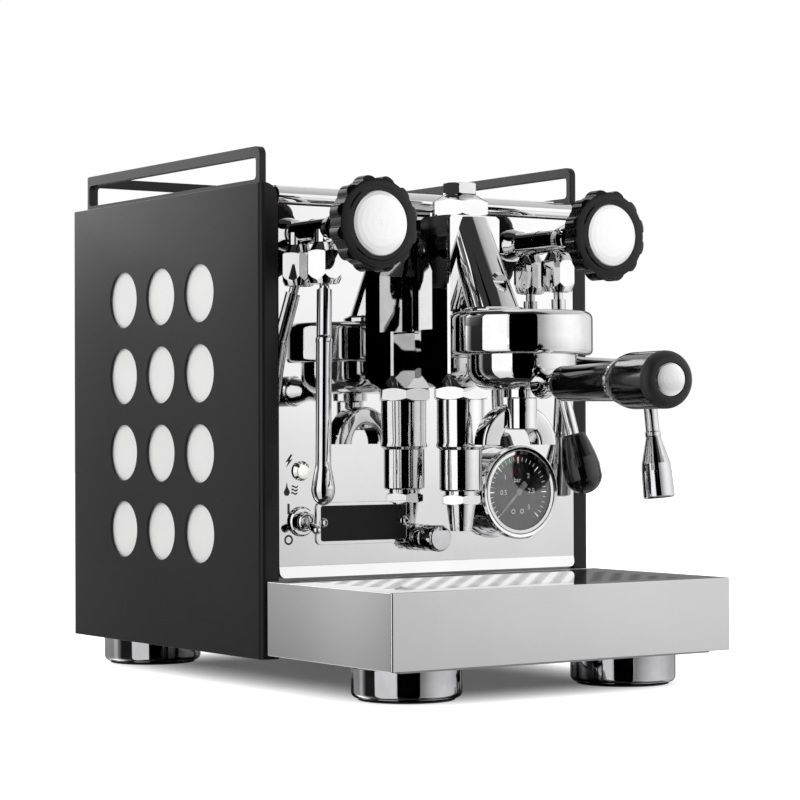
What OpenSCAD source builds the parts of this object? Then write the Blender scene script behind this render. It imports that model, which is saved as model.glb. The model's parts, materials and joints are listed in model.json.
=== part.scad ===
// Compact heat-exchanger espresso machine with an exposed brewing group.
// Frame: millimetres, +Z up, the machine's front faces -Y.
// The origin lies on the worktop, on the machine's middle plane, half-way
// between the drip tray's front and the back of the side panels.
// Every sub-part is its own node, and pieces that move are nodes of their own.

/* [Body] */
// Width across the outer faces of the two side panels
body_w = 274; // [262:1:300]
// Depth from the drip tray's front to the back of the side panels
body_d = 425; // [415:1:450]
// Length of a side panel from its front flange to its back
panel_len = 273; // [268:1:285]
// Height of the side panels' top edge above the worktop
panel_top = 335; // [325:1:350]
// Height of the side panels' lower edge above the worktop
panel_bottom = 20; // [18:1:24]
// Thickness of the folded sheet
sheet = 1.5; // [1:0.1:2]
// Width of the side panels' front and back flanges
flange_w = 13.4; // [11:0.2:15]
// Outside radius of the panels' folds
fold_r = 4; // [3:0.5:6]
// Gap between sheet parts that are fitted to each other
sheet_gap = 0.3; // [0.2:0.05:0.5]

/* [Side panel windows] */
// Diameter of the round windows
window_d = 40; // [30:1:46]
// Spacing of the windows along and up the panel
window_pitch = 55; // [50:1:58]
// Columns of windows
window_cols = 3; // [1:1:4]
// Rows of windows
window_rows = 4; // [1:1:4]
// Depth of the pale inner sheet behind the panel's face
inlay_depth = 2.4; // [2.2:0.1:5]

/* [Cup rail] */
// Height of the cup rail above the top frame
rail_h = 27; // [20:1:40]
// Thickness of the rail's flat bar
rail_t = 5; // [3:0.5:8]
// Height of the rail's upper bar
rail_bar = 7; // [5:0.5:10]
// Height of the rail's lower bar
rail_sill = 5; // [3:0.5:8]
// Step in from the panel's face to the rail
rail_inset = 4.1; // [3:0.1:6]

/* [Feet] */
// Diameter of a foot
foot_d = 71; // [60:1:74]
// Radius of the foot's lower edge
foot_edge = 4; // [2:0.5:6]
// Height of the rubber pad that shows under the foot
pad_show = 1.2; // [1:0.1:4]
// Half the distance between the front feet
foot_front_x = 88.4; // [80:0.2:92]
// Half the distance between the back feet
foot_rear_x = 92.4; // [84:0.2:93]

/* [Drip tray] */
// Depth of the drip tray
tray_d = 146.5; // [135:0.5:148]
// Height of the drip tray
tray_h = 48.4; // [40:0.2:50]
// Wall of the drip tray
tray_wall = 1.5; // [1:0.1:2.5]
// Thickness of the grate
grate_t = 1.5; // [1:0.1:2]
// Length of a grate slot
slot_l = 12; // [8:0.5:14]
// Width of a grate slot
slot_w = 3.6; // [2.5:0.1:5]

/* [Brewing group] */
// Distance of the group's column axis from the mirror panel
group_reach = 34; // [30:0.5:40]
// Distance of the bell's axis from the column's axis
bell_reach = 69; // [66:0.5:74]
// Depth of the bell's lower face below the top of the side panels
bell_drop = 115.5; // [110:0.5:122]
// Diameter of the bell
bell_d = 93; // [90:0.5:98]
// Height of the bell
bell_h = 28.5; // [26:0.5:32]
// Half the depth of the column, and the size of the ring nut under it
column_r = 17.3; // [16:0.1:18]
// Half the width of the column
column_x = 21.7; // [20:0.1:23]
// Across flats of the cap nut on top of the column
cap_af = 36; // [32:0.5:38]
// Radius of the upper discharge tube under the column
tube_r = 16.2; // [15:0.1:17]
// Distance of the lever's hub from the middle plane
lever_x = 80; // [76:0.5:84]
// Length of the lever from its shaft to the middle of its knob
lever_len = 77; // [60:0.5:84]

/* [Portafilter] */
// Radius of the portafilter's head
head_r = 35.7; // [35:0.1:36]
// Angle of the handle from straight forward, towards the left side
handle_angle = 10; // [0:0.5:15]
// Distance from the head's axis to the end of the handle
handle_reach = 193; // [185:1:215]
// Largest radius of the handle's grip
grip_r = 17.2; // [16:0.1:20]
// Radius of the handle's front sleeve, at its thick end
sleeve_r = 12.2; // [11:0.1:13]
// Half the distance between the spout's two mouths
spout_span = 20.5; // [18:0.5:23]

/* [Valves and wands] */
// Distance of the valve axes from the middle plane
valve_x = 95.2; // [90:0.2:98]
// Depth of the valve axes below the top of the side panels
valve_drop = 31.2; // [30:0.2:36]
// Distance from the mirror panel to the face of the valve knobs
knob_reach = 79.5; // [76:0.5:86]
// Diameter of the valve knobs over their lobes
knob_d = 63.5; // [58:0.5:66]
// Number of lobes on a knob
knob_lobes = 12; // [8:1:14]
// Distance of the ball joints from the middle plane
joint_x = 97.5; // [96:0.5:100]
// Distance of the ball joints from the mirror panel
joint_reach = 16; // [15:0.5:18]
// Radius of a wand's ball
ball_r = 7.6; // [7:0.1:7.8]
// Radius of the wand tubes
wand_r = 5.1; // [4.5:0.1:5.5]

/* [Front fittings] */
// Distance of the gauge's axis from the middle plane
gauge_x = 62.2; // [60:0.1:68]
// Height of the gauge's axis
gauge_z = 127.4; // [124:0.1:134]
// Diameter of the gauge's bezel
gauge_d = 65.4; // [60:0.2:68]
// Distance that the gauge stands out from the mirror panel
gauge_reach = 19.5; // [17:0.5:22]
// Distance of the switch and the lamp from the middle plane
switch_x = 106.5; // [104:0.5:110]
// Height of the toggle switch
switch_z = 110.4; // [106:0.2:114]
// Height of the lamp
lamp_z = 144; // [138:0.5:150]
// Distance of the thumb screw's axis to the left of the middle plane
thumb_x = 9.3; // [6:0.1:12]
// Diameter of the thumb screw's head
thumb_d = 18.4; // [16:0.2:20]
// Length of the thumb screw's head
thumb_l = 24; // [20:0.5:26]
// Height of the thumb screw
thumb_z = 97.4; // [92:0.2:102]

/* [Inside] */
// Diameter of the boiler
boiler_d = 112; // [100:1:116]
// Length of the boiler
boiler_l = 190; // [170:1:200]
// Width of the water tank
tank_w = 170; // [150:1:190]
// Depth of the water tank
tank_d = 84; // [76:1:88]
// Height of the water tank
tank_h = 200; // [180:1:205]

/* [Hidden] */

// Facets of round parts, and of small round details
$fn = 64;
small_fn = 32;
// Overlap that makes fused solids one, and overshoot of a cut past a face
eps = 0.01;
cut = 1;
// Gap between pieces of two bodies that pass each other
move_gap = 0.3;
// Radial clearance of a running fit
run_fit = 0.05;
// Clearance round a piece that passes through a panel
hole_gap = 0.3;

half_w = body_w / 2;
rear_y = body_d / 2;
front_y = -body_d / 2;
mirror_y = rear_y - panel_len;              // front face of the mirror panel
inner_x = half_w - flange_w;                // inner edge of the flanges
base_z = panel_bottom + sheet;              // underside of the base pan
top_z = panel_top - 2;                      // upper face of the top frame
lip_r = 6;                                  // rounded front lip of the top frame
lip_z = top_z - lip_r;
mirror_top = lip_z - lip_r;

// ---------------------------------------------------------------- helpers

// Points of an arc about [cx, cy]
function arc(cx, cy, r, a0, a1, n = 8) =
    [for (i = [0:n]) [cx + r * cos(a0 + (a1 - a0) * i / n),
                      cy + r * sin(a0 + (a1 - a0) * i / n)]];

// Circumradius of a hexagon from its across-flats size
function hex_r(af) = af / 2 / cos(30);

// Solid of revolution about Z from [radius, height] points
module revolve(points, fn = $fn) rotate_extrude($fn = fn) polygon(points);

// Turns a solid drawn along +Z so that it points to the front from the
// mirror panel: local z becomes the distance out of the panel
module from_panel(x, z) translate([x, mirror_y, z]) rotate([90, 0, 0]) children();

// Rectangle with round corners, centred, from plain squares and circles
module round_rect(w, h, r) {
    square([w - 2 * r, h], center = true);
    square([w, h - 2 * r], center = true);
    for (sx = [-1, 1], sy = [-1, 1])
        translate([sx * (w / 2 - r), sy * (h / 2 - r)]) circle(r, $fn = small_fn);
}

// Slot with round ends along X, centred
module slot2d(l, w) {
    square([l - w, w], center = true);
    for (s = [-1, 1]) translate([s * (l - w) / 2, 0]) circle(w / 2, $fn = 16);
}

// Hexagonal nut along Z, its corners chamfered at the end faces that ask for it
module hex_nut(af, h, low = 1, high = 1) {
    r = hex_r(af);
    c = r - af / 2;
    intersection() {
        cylinder(r = r, h = h, $fn = 6);
        revolve([[0, 0], [r - low * c, 0], [r, low * c * 0.6 + eps],
            [r, h - high * c * 0.6 - eps], [r - high * c, h], [0, h]]);
    }
}

// Rod from a to b with radii r0 and r1
module rod(a, b, r0, r1, fn = small_fn) {
    v = b - a;
    translate(a)
        rotate([0, acos(v[2] / norm(v)), atan2(v[1], v[0])])
            cylinder(r1 = r0, r2 = r1, h = norm(v), $fn = fn);
}

// ---------------------------------------------------------------- casing

bottom_lip = 8;                             // panels' bottom flange
ledge_w = 12;                               // panels' ledge under the top frame
flange_corner = 10;                         // round top corner of the front flange
window_mid_y = mirror_y + panel_len / 2 + 1.2;
window_mid_z = (panel_top + panel_bottom) / 2 + 5.5;

// Folded sheet of one side panel, drawn as the right one
module side_panel() {
    color("#2b2b2c") difference() {
        union() {
            translate([0, 0, panel_bottom]) linear_extrude(panel_top - panel_bottom)
                polygon(concat(
                    [[inner_x, mirror_y]],
                    arc(half_w - fold_r, mirror_y + fold_r, fold_r, -90, 0, 6),
                    arc(half_w - fold_r, rear_y - fold_r, fold_r, 0, 90, 6),
                    [[inner_x, rear_y], [inner_x, rear_y - sheet]],
                    arc(half_w - fold_r, rear_y - fold_r, fold_r - sheet, 90, 0, 6),
                    arc(half_w - fold_r, mirror_y + fold_r, fold_r - sheet, 0, -90, 6),
                    [[inner_x, mirror_y + sheet]]));
            // bottom flange and the ledge that carries the top frame
            for (lip = [[panel_bottom, bottom_lip], [top_z - 2 * sheet, ledge_w]])
                translate([half_w - lip[1], mirror_y + fold_r, lip[0]])
                    cube([lip[1] - sheet / 2, panel_len - 2 * fold_r, sheet]);
        }
        for (i = [0:window_cols - 1], j = [0:window_rows - 1])
            translate([half_w - sheet - cut,
                    window_mid_y + (i - (window_cols - 1) / 2) * window_pitch,
                    window_mid_z + (j - (window_rows - 1) / 2) * window_pitch])
                rotate([0, 90, 0]) cylinder(d = window_d, h = sheet + 2 * cut);
        // round top corner of the front flange
        translate([inner_x, mirror_y - cut, panel_top]) rotate([-90, 0, 0])
            linear_extrude(fold_r + cut) difference() {
                translate([-cut, -cut]) square(flange_corner + cut);
                translate([flange_corner, flange_corner])
                    circle(flange_corner, $fn = small_fn);
            }
    }
}
module side_panel_right() side_panel();
module side_panel_left() mirror([1, 0, 0]) side_panel();

inlay_edge = 16;                            // cover of the inner sheet round the windows

// Pale sheets that close the round windows from inside
module side_inlays() color("#f1f1ef") for (s = [-1, 1])
    translate([s * (half_w - inlay_depth) - (s > 0 ? sheet : 0),
            window_mid_y - ((window_cols - 1) * window_pitch + window_d) / 2 - inlay_edge,
            window_mid_z - ((window_rows - 1) * window_pitch + window_d) / 2 - inlay_edge])
        cube([sheet, (window_cols - 1) * window_pitch + window_d + 2 * inlay_edge,
            (window_rows - 1) * window_pitch + window_d + 2 * inlay_edge]);

tray_z = base_z + sheet + sheet_gap;        // underside of the drip tray
tray_top = tray_z + tray_h;
kick_h = 14;                                // lower band of the mirror panel
kick_d = 3.5;                               // how far the band leans forward
mirror_low = tray_top + 1.5;
web_w = 24.2;                               // rib that carries the group
web_low = 39;                               // rib's foot above the column's foot
valve_z = panel_top - valve_drop;
valve_r = 8.2;                              // valve body where it leaves the panel
gauge_neck_r = 22;                          // gauge's case where it passes the panel
bush_r = 6;                                 // threaded bush of the toggle switch
lamp_neck_r = 4.6;                          // lamp's body behind its bezel
thumb_shank_r = 3;

// Mirror-polished front panel with a lower band that leans forward
module front_panel() {
    w = 2 * (inner_x - sheet_gap);
    color("#dcdddf") difference() {
        union() {
            translate([-w / 2, mirror_y, mirror_low + kick_h])
                cube([w, sheet, mirror_top - sheet_gap - mirror_low - kick_h]);
            translate([-w / 2, 0, 0]) rotate([90, 0, 90]) linear_extrude(w)
                polygon([[mirror_y - kick_d, mirror_low],
                    [mirror_y - kick_d + sheet, mirror_low],
                    [mirror_y + sheet, mirror_low + kick_h + eps],
                    [mirror_y, mirror_low + kick_h + eps]]);
        }
        // round lower corners
        for (s = [-1, 1]) translate([s * w / 2, mirror_y - kick_d - cut, mirror_low])
            rotate([-90, 0, 0]) linear_extrude(kick_d + sheet + 2 * cut) difference() {
                translate([-fold_r, -fold_r]) square([2 * fold_r, fold_r + cut]);
                translate([-s * fold_r, -fold_r]) circle(fold_r, $fn = small_fn);
            }
        // way through for the group's rib and the fittings
        translate([-web_w / 2 - hole_gap, mirror_y - cut, column_low + web_low - hole_gap])
            cube([web_w + 2 * hole_gap, sheet + 2 * cut,
                group_top - column_low - web_low + 2 * hole_gap]);
        for (s = [-1, 1]) panel_hole(s * valve_x, valve_z, valve_r);
        panel_hole(gauge_x, gauge_z, gauge_neck_r);
        panel_hole(-switch_x, switch_z, bush_r);
        panel_hole(-switch_x, lamp_z, lamp_neck_r);
        panel_hole(-thumb_x, thumb_z, thumb_shank_r);
    }
}
module panel_hole(x, z, r) translate([x, mirror_y - cut, z]) rotate([-90, 0, 0])
    cylinder(r = r + hole_gap, h = sheet + 2 * cut);

gland_x = -80;                              // cable gland at the back
gland_z = 52;
gland_r = 4.5;
vent_w = 3.5;
vent_pitch = 9;
vent_rows = 9;

// Back panel with its cable gland and vents
module rear_panel() {
    w = 2 * (inner_x - sheet_gap);
    z0 = base_z + sheet;
    color("#b9babb") difference() {
        union() {
            translate([-w / 2, rear_y - sheet, z0]) cube([w, sheet, top_z - 2 * sheet - z0]);
            translate([gland_x, rear_y, gland_z]) rotate([90, 0, 0])
                cylinder(r = 2 * gland_r, h = 8);
        }
        translate([gland_x, rear_y + cut, gland_z]) rotate([90, 0, 0])
            cylinder(r = gland_r, h = 8 + 2 * cut);
        for (s = [-1, 1], i = [0:vent_rows - 1])
            translate([s * w / 4, rear_y + cut, panel_top / 2 + i * vent_pitch])
                rotate([90, 0, 0]) linear_extrude(sheet + 2 * cut) slot2d(w / 4, vent_w);
    }
}

frame_side = 20;                            // side strips of the top frame
frame_front = 16;
tray_lap = 3;                               // cup tray's edge on the top frame
rail_rear = rear_y - 9.5;                   // back face of the cup rail
frame_rear = rear_y - rail_rear + rail_t + tray_lap + 2.5;
hatch_y0 = mirror_y + frame_front;          // hatch of the top frame
hatch_y1 = rear_y - frame_rear;
hatch_x = half_w - frame_side;

shelf_z = top_z - tank_h - 12;              // upper face of the tank's shelf
tank_x = -15;                               // middle of the tank
tank_y = hatch_y1 - sheet - 4 - tank_d / 2;
bulkhead_h = 60;
nose_w = body_w - 2 * bottom_lip - 8;       // base pan under the drip tray

// Base pan with the bulkhead behind the drip tray and the water tank's shelf
module base_pan() {
    w = body_w - 2 * sheet - 2 * sheet_gap;
    color("#9fa0a2") union() {
        translate([-w / 2, mirror_y + 2 * sheet, base_z])
            cube([w, panel_len - 3 * sheet - sheet_gap, sheet]);
        translate([-nose_w / 2, front_y + 8, base_z])
            cube([nose_w, mirror_y - front_y, sheet]);
        translate([-(inner_x - sheet_gap), mirror_y + 2 * sheet, base_z])
            cube([2 * (inner_x - sheet_gap), sheet, bulkhead_h]);
        // shelf on two side plates
        translate([tank_x - tank_w / 2, tank_y - tank_d / 2, shelf_z - sheet])
            cube([tank_w, tank_d, sheet]);
        for (s = [-1, 1])
            translate([tank_x + s * (tank_w / 2 - sheet / 2) - sheet / 2,
                    tank_y - tank_d / 2, base_z])
                cube([sheet, tank_d, shelf_z - base_z]);
    }
}

// Top frame: rounded lip in front, large hatch over the tank and the boiler
module top_frame() {
    w = body_w - 2 * sheet - 2 * sheet_gap;
    lip_w = 2 * (inner_x - sheet_gap);
    color("#d4d5d7") union() {
        difference() {
            translate([-w / 2, mirror_y + fold_r + sheet_gap, top_z - sheet])
                cube([w, panel_len - 2 * fold_r - 2 * sheet_gap, sheet]);
            translate([-hatch_x, hatch_y0, top_z - sheet - cut])
                cube([2 * hatch_x, hatch_y1 - hatch_y0, sheet + 2 * cut]);
        }
        translate([-lip_w / 2, mirror_y + lip_r - 1.5, lip_z]) rotate([0, 90, 0])
            cylinder(r = lip_r, h = lip_w);
        translate([-lip_w / 2, mirror_y + lip_r - 1.5, top_z - sheet])
            cube([lip_w, frame_front - lip_r + 1.5, sheet]);
    }
}

skirt_h = 9;                                // cup tray's skirt inside the hatch
vent_l = 52;
cup_slot_w = 4;
cup_slot_pitch = 14;

// Lift-out cup warmer: a plate with slots and a turned-down skirt
module cup_tray() {
    x = hatch_x + tray_lap;
    y0 = hatch_y0 - tray_lap;
    y1 = hatch_y1 + tray_lap;
    z = top_z + move_gap;
    sx = hatch_x - move_gap;
    sy0 = hatch_y0 + move_gap;
    sy1 = hatch_y1 - move_gap;
    rows = floor((y1 - y0 - 30) / cup_slot_pitch);
    color("#cfd0d2") union() {
        translate([0, (y0 + y1) / 2, z]) linear_extrude(sheet) difference() {
            round_rect(2 * x, y1 - y0, 4);
            for (i = [0:rows - 1], j = [-1, 0, 1])
                translate([j * (vent_l + 18), (i - (rows - 1) / 2) * cup_slot_pitch])
                    slot2d(vent_l, cup_slot_w);
        }
        translate([0, 0, z - skirt_h]) linear_extrude(skirt_h + eps) difference() {
            translate([-sx, sy0]) square([2 * sx, sy1 - sy0]);
            translate([-sx + sheet, sy0 + sheet])
                square([2 * (sx - sheet), sy1 - sy0 - 2 * sheet]);
        }
    }
}

rail_front = mirror_y + 8;
rail_x = half_w - rail_inset;
rail_post = 5;                              // front post of the rail
rail_back_post = 10;                        // posts at the bent corners
rail_corner = 3;                            // radius in the rail's windows
rail_bend = 9;                              // outside radius of the bent corners

// Flat bar frame standing on its edge, with a rounded window; from y = 0
module rail_plate(l, post0, post1, round0) {
    difference() {
        translate([0, 0]) {
            if (round0) {
                square([l, rail_h - 2 * rail_corner]);
                translate([2 * rail_corner, 0]) square([l - 2 * rail_corner, rail_h]);
                translate([2 * rail_corner, rail_h - 2 * rail_corner])
                    circle(2 * rail_corner, $fn = small_fn);
            } else square([l, rail_h]);
        }
        translate([(post0 + l - post1) / 2, (rail_sill + rail_h - rail_bar) / 2])
            round_rect(l - post0 - post1, rail_h - rail_bar - rail_sill, rail_corner);
    }
}

module cup_rail_side() color("#2a2a2b") union() {
    translate([rail_x, rail_front, top_z]) rotate([90, 0, -90]) mirror([1, 0, 0])
        linear_extrude(rail_t)
            rail_plate(rail_rear - rail_front - rail_bend, rail_post, 1, true);
}
module cup_rail_right() cup_rail_side();
module cup_rail_left() mirror([1, 0, 0]) cup_rail_side();

// Back of the rail with its two bent corners
module cup_rail_rear() color("#2a2a2b") {
    w = 2 * (rail_x - rail_bend);
    translate([-w / 2, rail_rear, top_z]) rotate([90, 0, 0]) linear_extrude(rail_t)
        rail_plate(w, 1, 1, false);
    for (s = [-1, 1])
        translate([s * (rail_x - rail_bend), rail_rear - rail_bend, top_z])
            rotate([0, 0, s > 0 ? 0 : 90])
                rotate_extrude(angle = 90, $fn = small_fn)
                    translate([rail_bend - rail_t, 0]) square([rail_t, rail_h]);
}

foot_front_y = front_y + 54.5;
foot_rear_y = rear_y - 41.5;
pad_r = foot_d / 2 - foot_edge - 0.5;
pad_sunk = 2;

module at_feet() {
    for (s = [-1, 1]) {
        translate([s * foot_front_x, foot_front_y, 0]) children();
        translate([s * foot_rear_x, foot_rear_y, 0]) children();
    }
}

// Polished cups of the four feet
module foot_cups() color("#c9cacc") at_feet() {
    r = foot_d / 2;
    revolve(concat([[0, pad_show + pad_sunk], [pad_r, pad_show + pad_sunk],
        [pad_r, pad_show]],
        arc(r - foot_edge, pad_show + foot_edge, foot_edge, -90, 0, 6),
        [[r, base_z - 1], [r - 1, base_z], [0, base_z]]));
}

// Rubber pads set into the cups
module foot_pads() color("#1b1b1b") at_feet()
    cylinder(r = pad_r, h = pad_show + pad_sunk);

// ---------------------------------------------------------------- drip tray

tray_w = body_w - 1;
tray_ledge = 6;
grate_gap = 0.5;
grate_z = tray_top - grate_t - 0.2;
grate_border = 14;
slot_step_x = slot_l + 4.5;
slot_step_y = 2 * slot_w + 2.4;

// Open sheet box with a folded ledge all round that carries the grate
module drip_tray() color("#c8c8c9") {
    y = front_y + tray_d / 2;
    translate([0, y, tray_z]) {
        linear_extrude(tray_wall) round_rect(tray_w, tray_d, 1.5);
        linear_extrude(tray_h) difference() {
            round_rect(tray_w, tray_d, 1.5);
            square([tray_w - 2 * tray_wall, tray_d - 2 * tray_wall], center = true);
        }
    }
    translate([0, y, grate_z - move_gap - tray_wall]) linear_extrude(tray_wall)
        difference() {
            square([tray_w - tray_wall, tray_d - tray_wall], center = true);
            square([tray_w - 2 * tray_wall - 2 * tray_ledge,
                tray_d - 2 * tray_wall - 2 * tray_ledge], center = true);
        }
}

// Grate: plate with a plain border and staggered pointed slots
module drip_grate() {
    w = tray_w - 2 * tray_wall - 2 * grate_gap;
    d = tray_d - 2 * tray_wall - 2 * grate_gap;
    rows = floor((d - 2 * grate_border) / slot_step_y);
    cols = floor((w - 2 * grate_border) / slot_step_x);
    color("#bdbebf") translate([0, front_y + tray_d / 2, grate_z])
        linear_extrude(grate_t) difference() {
            square([w, d], center = true);
            for (j = [0:rows - 1], i = [0:cols - 1 - j % 2])
                translate([(i - (cols - 1 - j % 2) / 2) * slot_step_x,
                        (j - (rows - 1) / 2) * slot_step_y])
                    polygon([[-slot_l / 2, 0], [-slot_l / 2 + slot_w, -slot_w / 2],
                        [slot_l / 2 - slot_w, -slot_w / 2], [slot_l / 2, 0],
                        [slot_l / 2 - slot_w, slot_w / 2],
                        [-slot_l / 2 + slot_w, slot_w / 2]]);
        }
}

// ---------------------------------------------------------------- group

group_y = mirror_y - group_reach;           // column, cap nut and discharge tube
bell_y = group_y - bell_reach;              // bell and portafilter
bell_z = panel_top - bell_drop;             // lower face of the bell
group_top = bell_z + 95.5;                  // shoulder under the cap nut
column_low = bell_z - 19.5;                 // foot of the column
corner_r = norm([column_x, column_r]) - 1;  // turned corners of the column
corner_h = 8.5;                             // height of the turned foot
neck_r0 = 14.3;                             // neck at the cap nut
neck_r1 = 17.2;                             // neck at the bell
neck_lean = 7;                              // neck's start in front of the column
neck_foot_y = bell_y + 30;
shaft_z = bell_z + 2.5;                     // brew lever's shaft
shaft_r = 5;
boss_x = 25;                                // end of the side boss on the column

// Cast block with its rib, sloping neck, side boss and plinth on the bell
module group_body() color("#d9dadc") difference() {
    union() {
        // squared block, its corners turned off at the foot and the shoulder
        translate([0, group_y, 0]) intersection() {
            translate([-column_x, -column_r, column_low])
                cube([2 * column_x, 2 * column_r, group_top - column_low]);
            revolve([[0, column_low], [column_x - 1, column_low],
                [corner_r, column_low + corner_h], [corner_r, group_top - 2],
                [corner_r - 2, group_top], [0, group_top]]);
        }
        // rib through the mirror panel
        translate([-web_w / 2, group_y, column_low + web_low])
            cube([web_w, group_reach + 10, group_top - column_low - web_low]);
        hull() {
            translate([0, group_y - neck_lean, group_top - 2])
                cylinder(r = neck_r0, h = 1, $fn = 48);
            translate([0, neck_foot_y, bell_z + bell_h + 1])
                cylinder(r = neck_r1, h = 1, $fn = 48);
        }
        translate([0, neck_foot_y, bell_z + bell_h])
            revolve([[0, 0], [neck_r1 + 4, 0], [neck_r1 + 4, 2.5], [neck_r1 + 2, 4], [0, 4]]);
        translate([0, group_y, shaft_z]) rotate([0, 90, 0])
            revolve([[0, 0], [13, 0], [13, boss_x - 1.5], [11.5, boss_x], [0, boss_x]]);
    }
    // seat of the jet plug, and the lever shaft's bore
    jet_frame() translate([0, 0, -4]) cylinder(r = jet_r, h = 20, $fn = small_fn);
    translate([0, group_y, shaft_z]) rotate([0, 90, 0])
        cylinder(r = shaft_r + run_fit, h = boss_x + cut);
}

jet_r = 5;
jet_along = 0.68;                           // place of the plug down the neck

// Frame on the front of the neck, local +Z out of the metal
module jet_frame() {
    dy = neck_foot_y - (group_y - neck_lean);
    dz = bell_z + bell_h + 1 - (group_top - 2);
    r = neck_r0 + (neck_r1 - neck_r0) * jet_along;
    translate([0, group_y - neck_lean + jet_along * dy - r, group_top - 2 + jet_along * dz])
        rotate([90 + atan(dy / dz), 0, 0]) children();
}

// Slotted plug over the jet
module jet_plug() color("#c2c3c5") jet_frame() difference() {
    translate([0, 0, -4]) cylinder(r = jet_r - 0.1, h = 4.4, $fn = small_fn);
    translate([-jet_r, -0.7, -0.8]) cube([2 * jet_r, 1.4, 3]);
}

throat_r = head_r + 0.6;                    // bell's throat round the portafilter
lug_r = head_r + 4.6;                       // reach of the portafilter's lugs
groove_r = lug_r + 0.8;
lug_z = bell_z + 5.4;                       // underside of the lugs
lug_h = 5;
ledge_h = 5;                                // bell's bayonet ledge
rim_z = bell_z + 11.5;                      // portafilter's rim
bell_roof = bell_z + 18.5;
notch_angle = 45;                           // turn from lock to release
lug_angle = 40;

// Sector of a disc about the axis, used for lugs and for the notches
module sector(r, a, h) rotate([0, 0, -a / 2]) rotate_extrude(angle = a, $fn = 72)
    square([r, h]);

// Bell with the bayonet ledge inside
module group_bell() {
    r = bell_d / 2;
    color("#d9dadc") translate([0, bell_y, 0]) difference() {
        revolve(concat([[0, bell_roof], [groove_r, bell_roof], [groove_r, bell_z + ledge_h],
            [throat_r, bell_z + ledge_h], [throat_r, bell_z + 1], [throat_r + 1, bell_z]],
            arc(r - 3, bell_z + 3, 3, -90, 0, 5),
            arc(r - 5, bell_z + bell_h - 5, 5, 0, 90, 6), [[0, bell_z + bell_h]]), 96);
        for (s = [0, 180])
            rotate([0, 0, s - handle_angle - notch_angle])
                translate([0, 0, bell_z - cut])
                    sector(groove_r - 0.2, lug_angle + 8, ledge_h + 2 * cut);
    }
}

// Domed hexagon cap on top of the column
module mushroom_cap() color("#dcdddf") translate([0, group_y, group_top]) {
    hex_nut(cap_af, 11, 0.9, 1);
    r = cap_af / 2;
    revolve([[0, 10], [r - 1, 11 - eps], [r - 6, 14.6], [10.2, 15.4], [0, 15.4]]);
    translate([0, 0, 15.4 - eps]) hex_nut(22, 7.6, 0.6, 0.9);
}

nut_h = 8.5;
// Ring nut that holds the discharge tube to the column
module ring_nut() color("#dcdddf") translate([0, group_y, column_low - nut_h])
    hex_nut(2 * column_r, nut_h, 1, 1);

tube_z = column_low - nut_h;
upper_l = 32;
lower_l = 30;
lower_r = 14.5;

// Stepped discharge tube
module discharge_tube() color("#d5d6d8") translate([0, group_y, tube_z]) revolve([
    [0, 0], [tube_r, 0], [tube_r, -upper_l + 3], [tube_r + 0.5, -upper_l + 2],
    [tube_r + 0.5, -upper_l], [lower_r, -upper_l - 2], [lower_r, -upper_l - lower_l + 1],
    [lower_r - 1, -upper_l - lower_l], [0, -upper_l - lower_l]]);

// Hexagon and tapered nozzle at the tube's end
module discharge_nozzle() color("#d5d6d8") translate([0, group_y, tube_z - upper_l - lower_l]) {
    translate([0, 0, -2.5]) cylinder(r = 11, h = 2.5);
    translate([0, 0, -9]) hex_nut(25, 6.5, 1, 1);
    difference() {
        translate([0, 0, -27]) cylinder(r1 = 7.4, r2 = 10, h = 18 + eps);
        translate([0, 0, -27 - cut]) cylinder(r = 4, h = 16);
    }
}

screen_r = 27.5;
// Shower screen with its holes, hung from the bell's roof
module shower_screen() color("#b8b9ba") translate([0, bell_y, rim_z + 2.5]) difference() {
    union() {
        cylinder(r = screen_r, h = 1);
        translate([0, 0, 1 - eps]) cylinder(r = 8, h = bell_roof - rim_z - 3.5 + eps);
    }
    for (ring = [1:3], i = [0:6 * ring - 1]) rotate([0, 0, i * 60 / ring])
        translate([4 + 6 * ring, 0, -cut]) cylinder(r = 0.9, h = 4, $fn = 16);
}

// Seal between the bell's roof and the portafilter's rim
module group_gasket() color("#1c1c1c") translate([0, bell_y, rim_z + move_gap])
    revolve([[29.5, 0], [throat_r, 0], [throat_r, bell_roof - rim_z - move_gap],
        [29.5, bell_roof - rim_z - move_gap]]);

gland_l = 12;
hub_w = 16;
// Packing gland and sleeve that carry the lever's shaft
module lever_gland() color("#d3d4d6") translate([boss_x, group_y, shaft_z])
    rotate([0, 90, 0]) difference() {
        union() {
            hex_nut(24, gland_l);
            revolve([[0, gland_l - eps], [9.5, gland_l - eps], [8.5, gland_l + 5],
                [7.5, gland_l + 8], [7.5, lever_x - hub_w / 2 - move_gap - boss_x],
                [0, lever_x - hub_w / 2 - move_gap - boss_x]]);
        }
        translate([0, 0, -cut]) cylinder(r = shaft_r + run_fit, h = 100);
    }

lever_dir = [0.17, -0.17, -1] / norm([0.17, -0.17, -1]);
lever_hub = [lever_x, group_y, shaft_z];
knob_half = 21;                             // half the length of the lever's knob
lever_rod_r = 4.4;

// Shaft, hub and rod of the brew lever
module lever_arm() color("#d3d4d6") {
    translate([12, group_y, shaft_z]) rotate([0, 90, 0])
        cylinder(r = shaft_r, h = lever_x - 12, $fn = 64);
    translate([lever_x - hub_w / 2, group_y, shaft_z]) rotate([0, 90, 0])
        revolve([[0, 0], [8.5, 0], [9.5, 1], [9.5, hub_w - 4], [7.5, hub_w - 1.2],
            [4, hub_w], [0, hub_w]]);
    rod(lever_hub, lever_hub + lever_dir * (lever_len - knob_half + 10),
        lever_rod_r, lever_rod_r);
}

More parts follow.
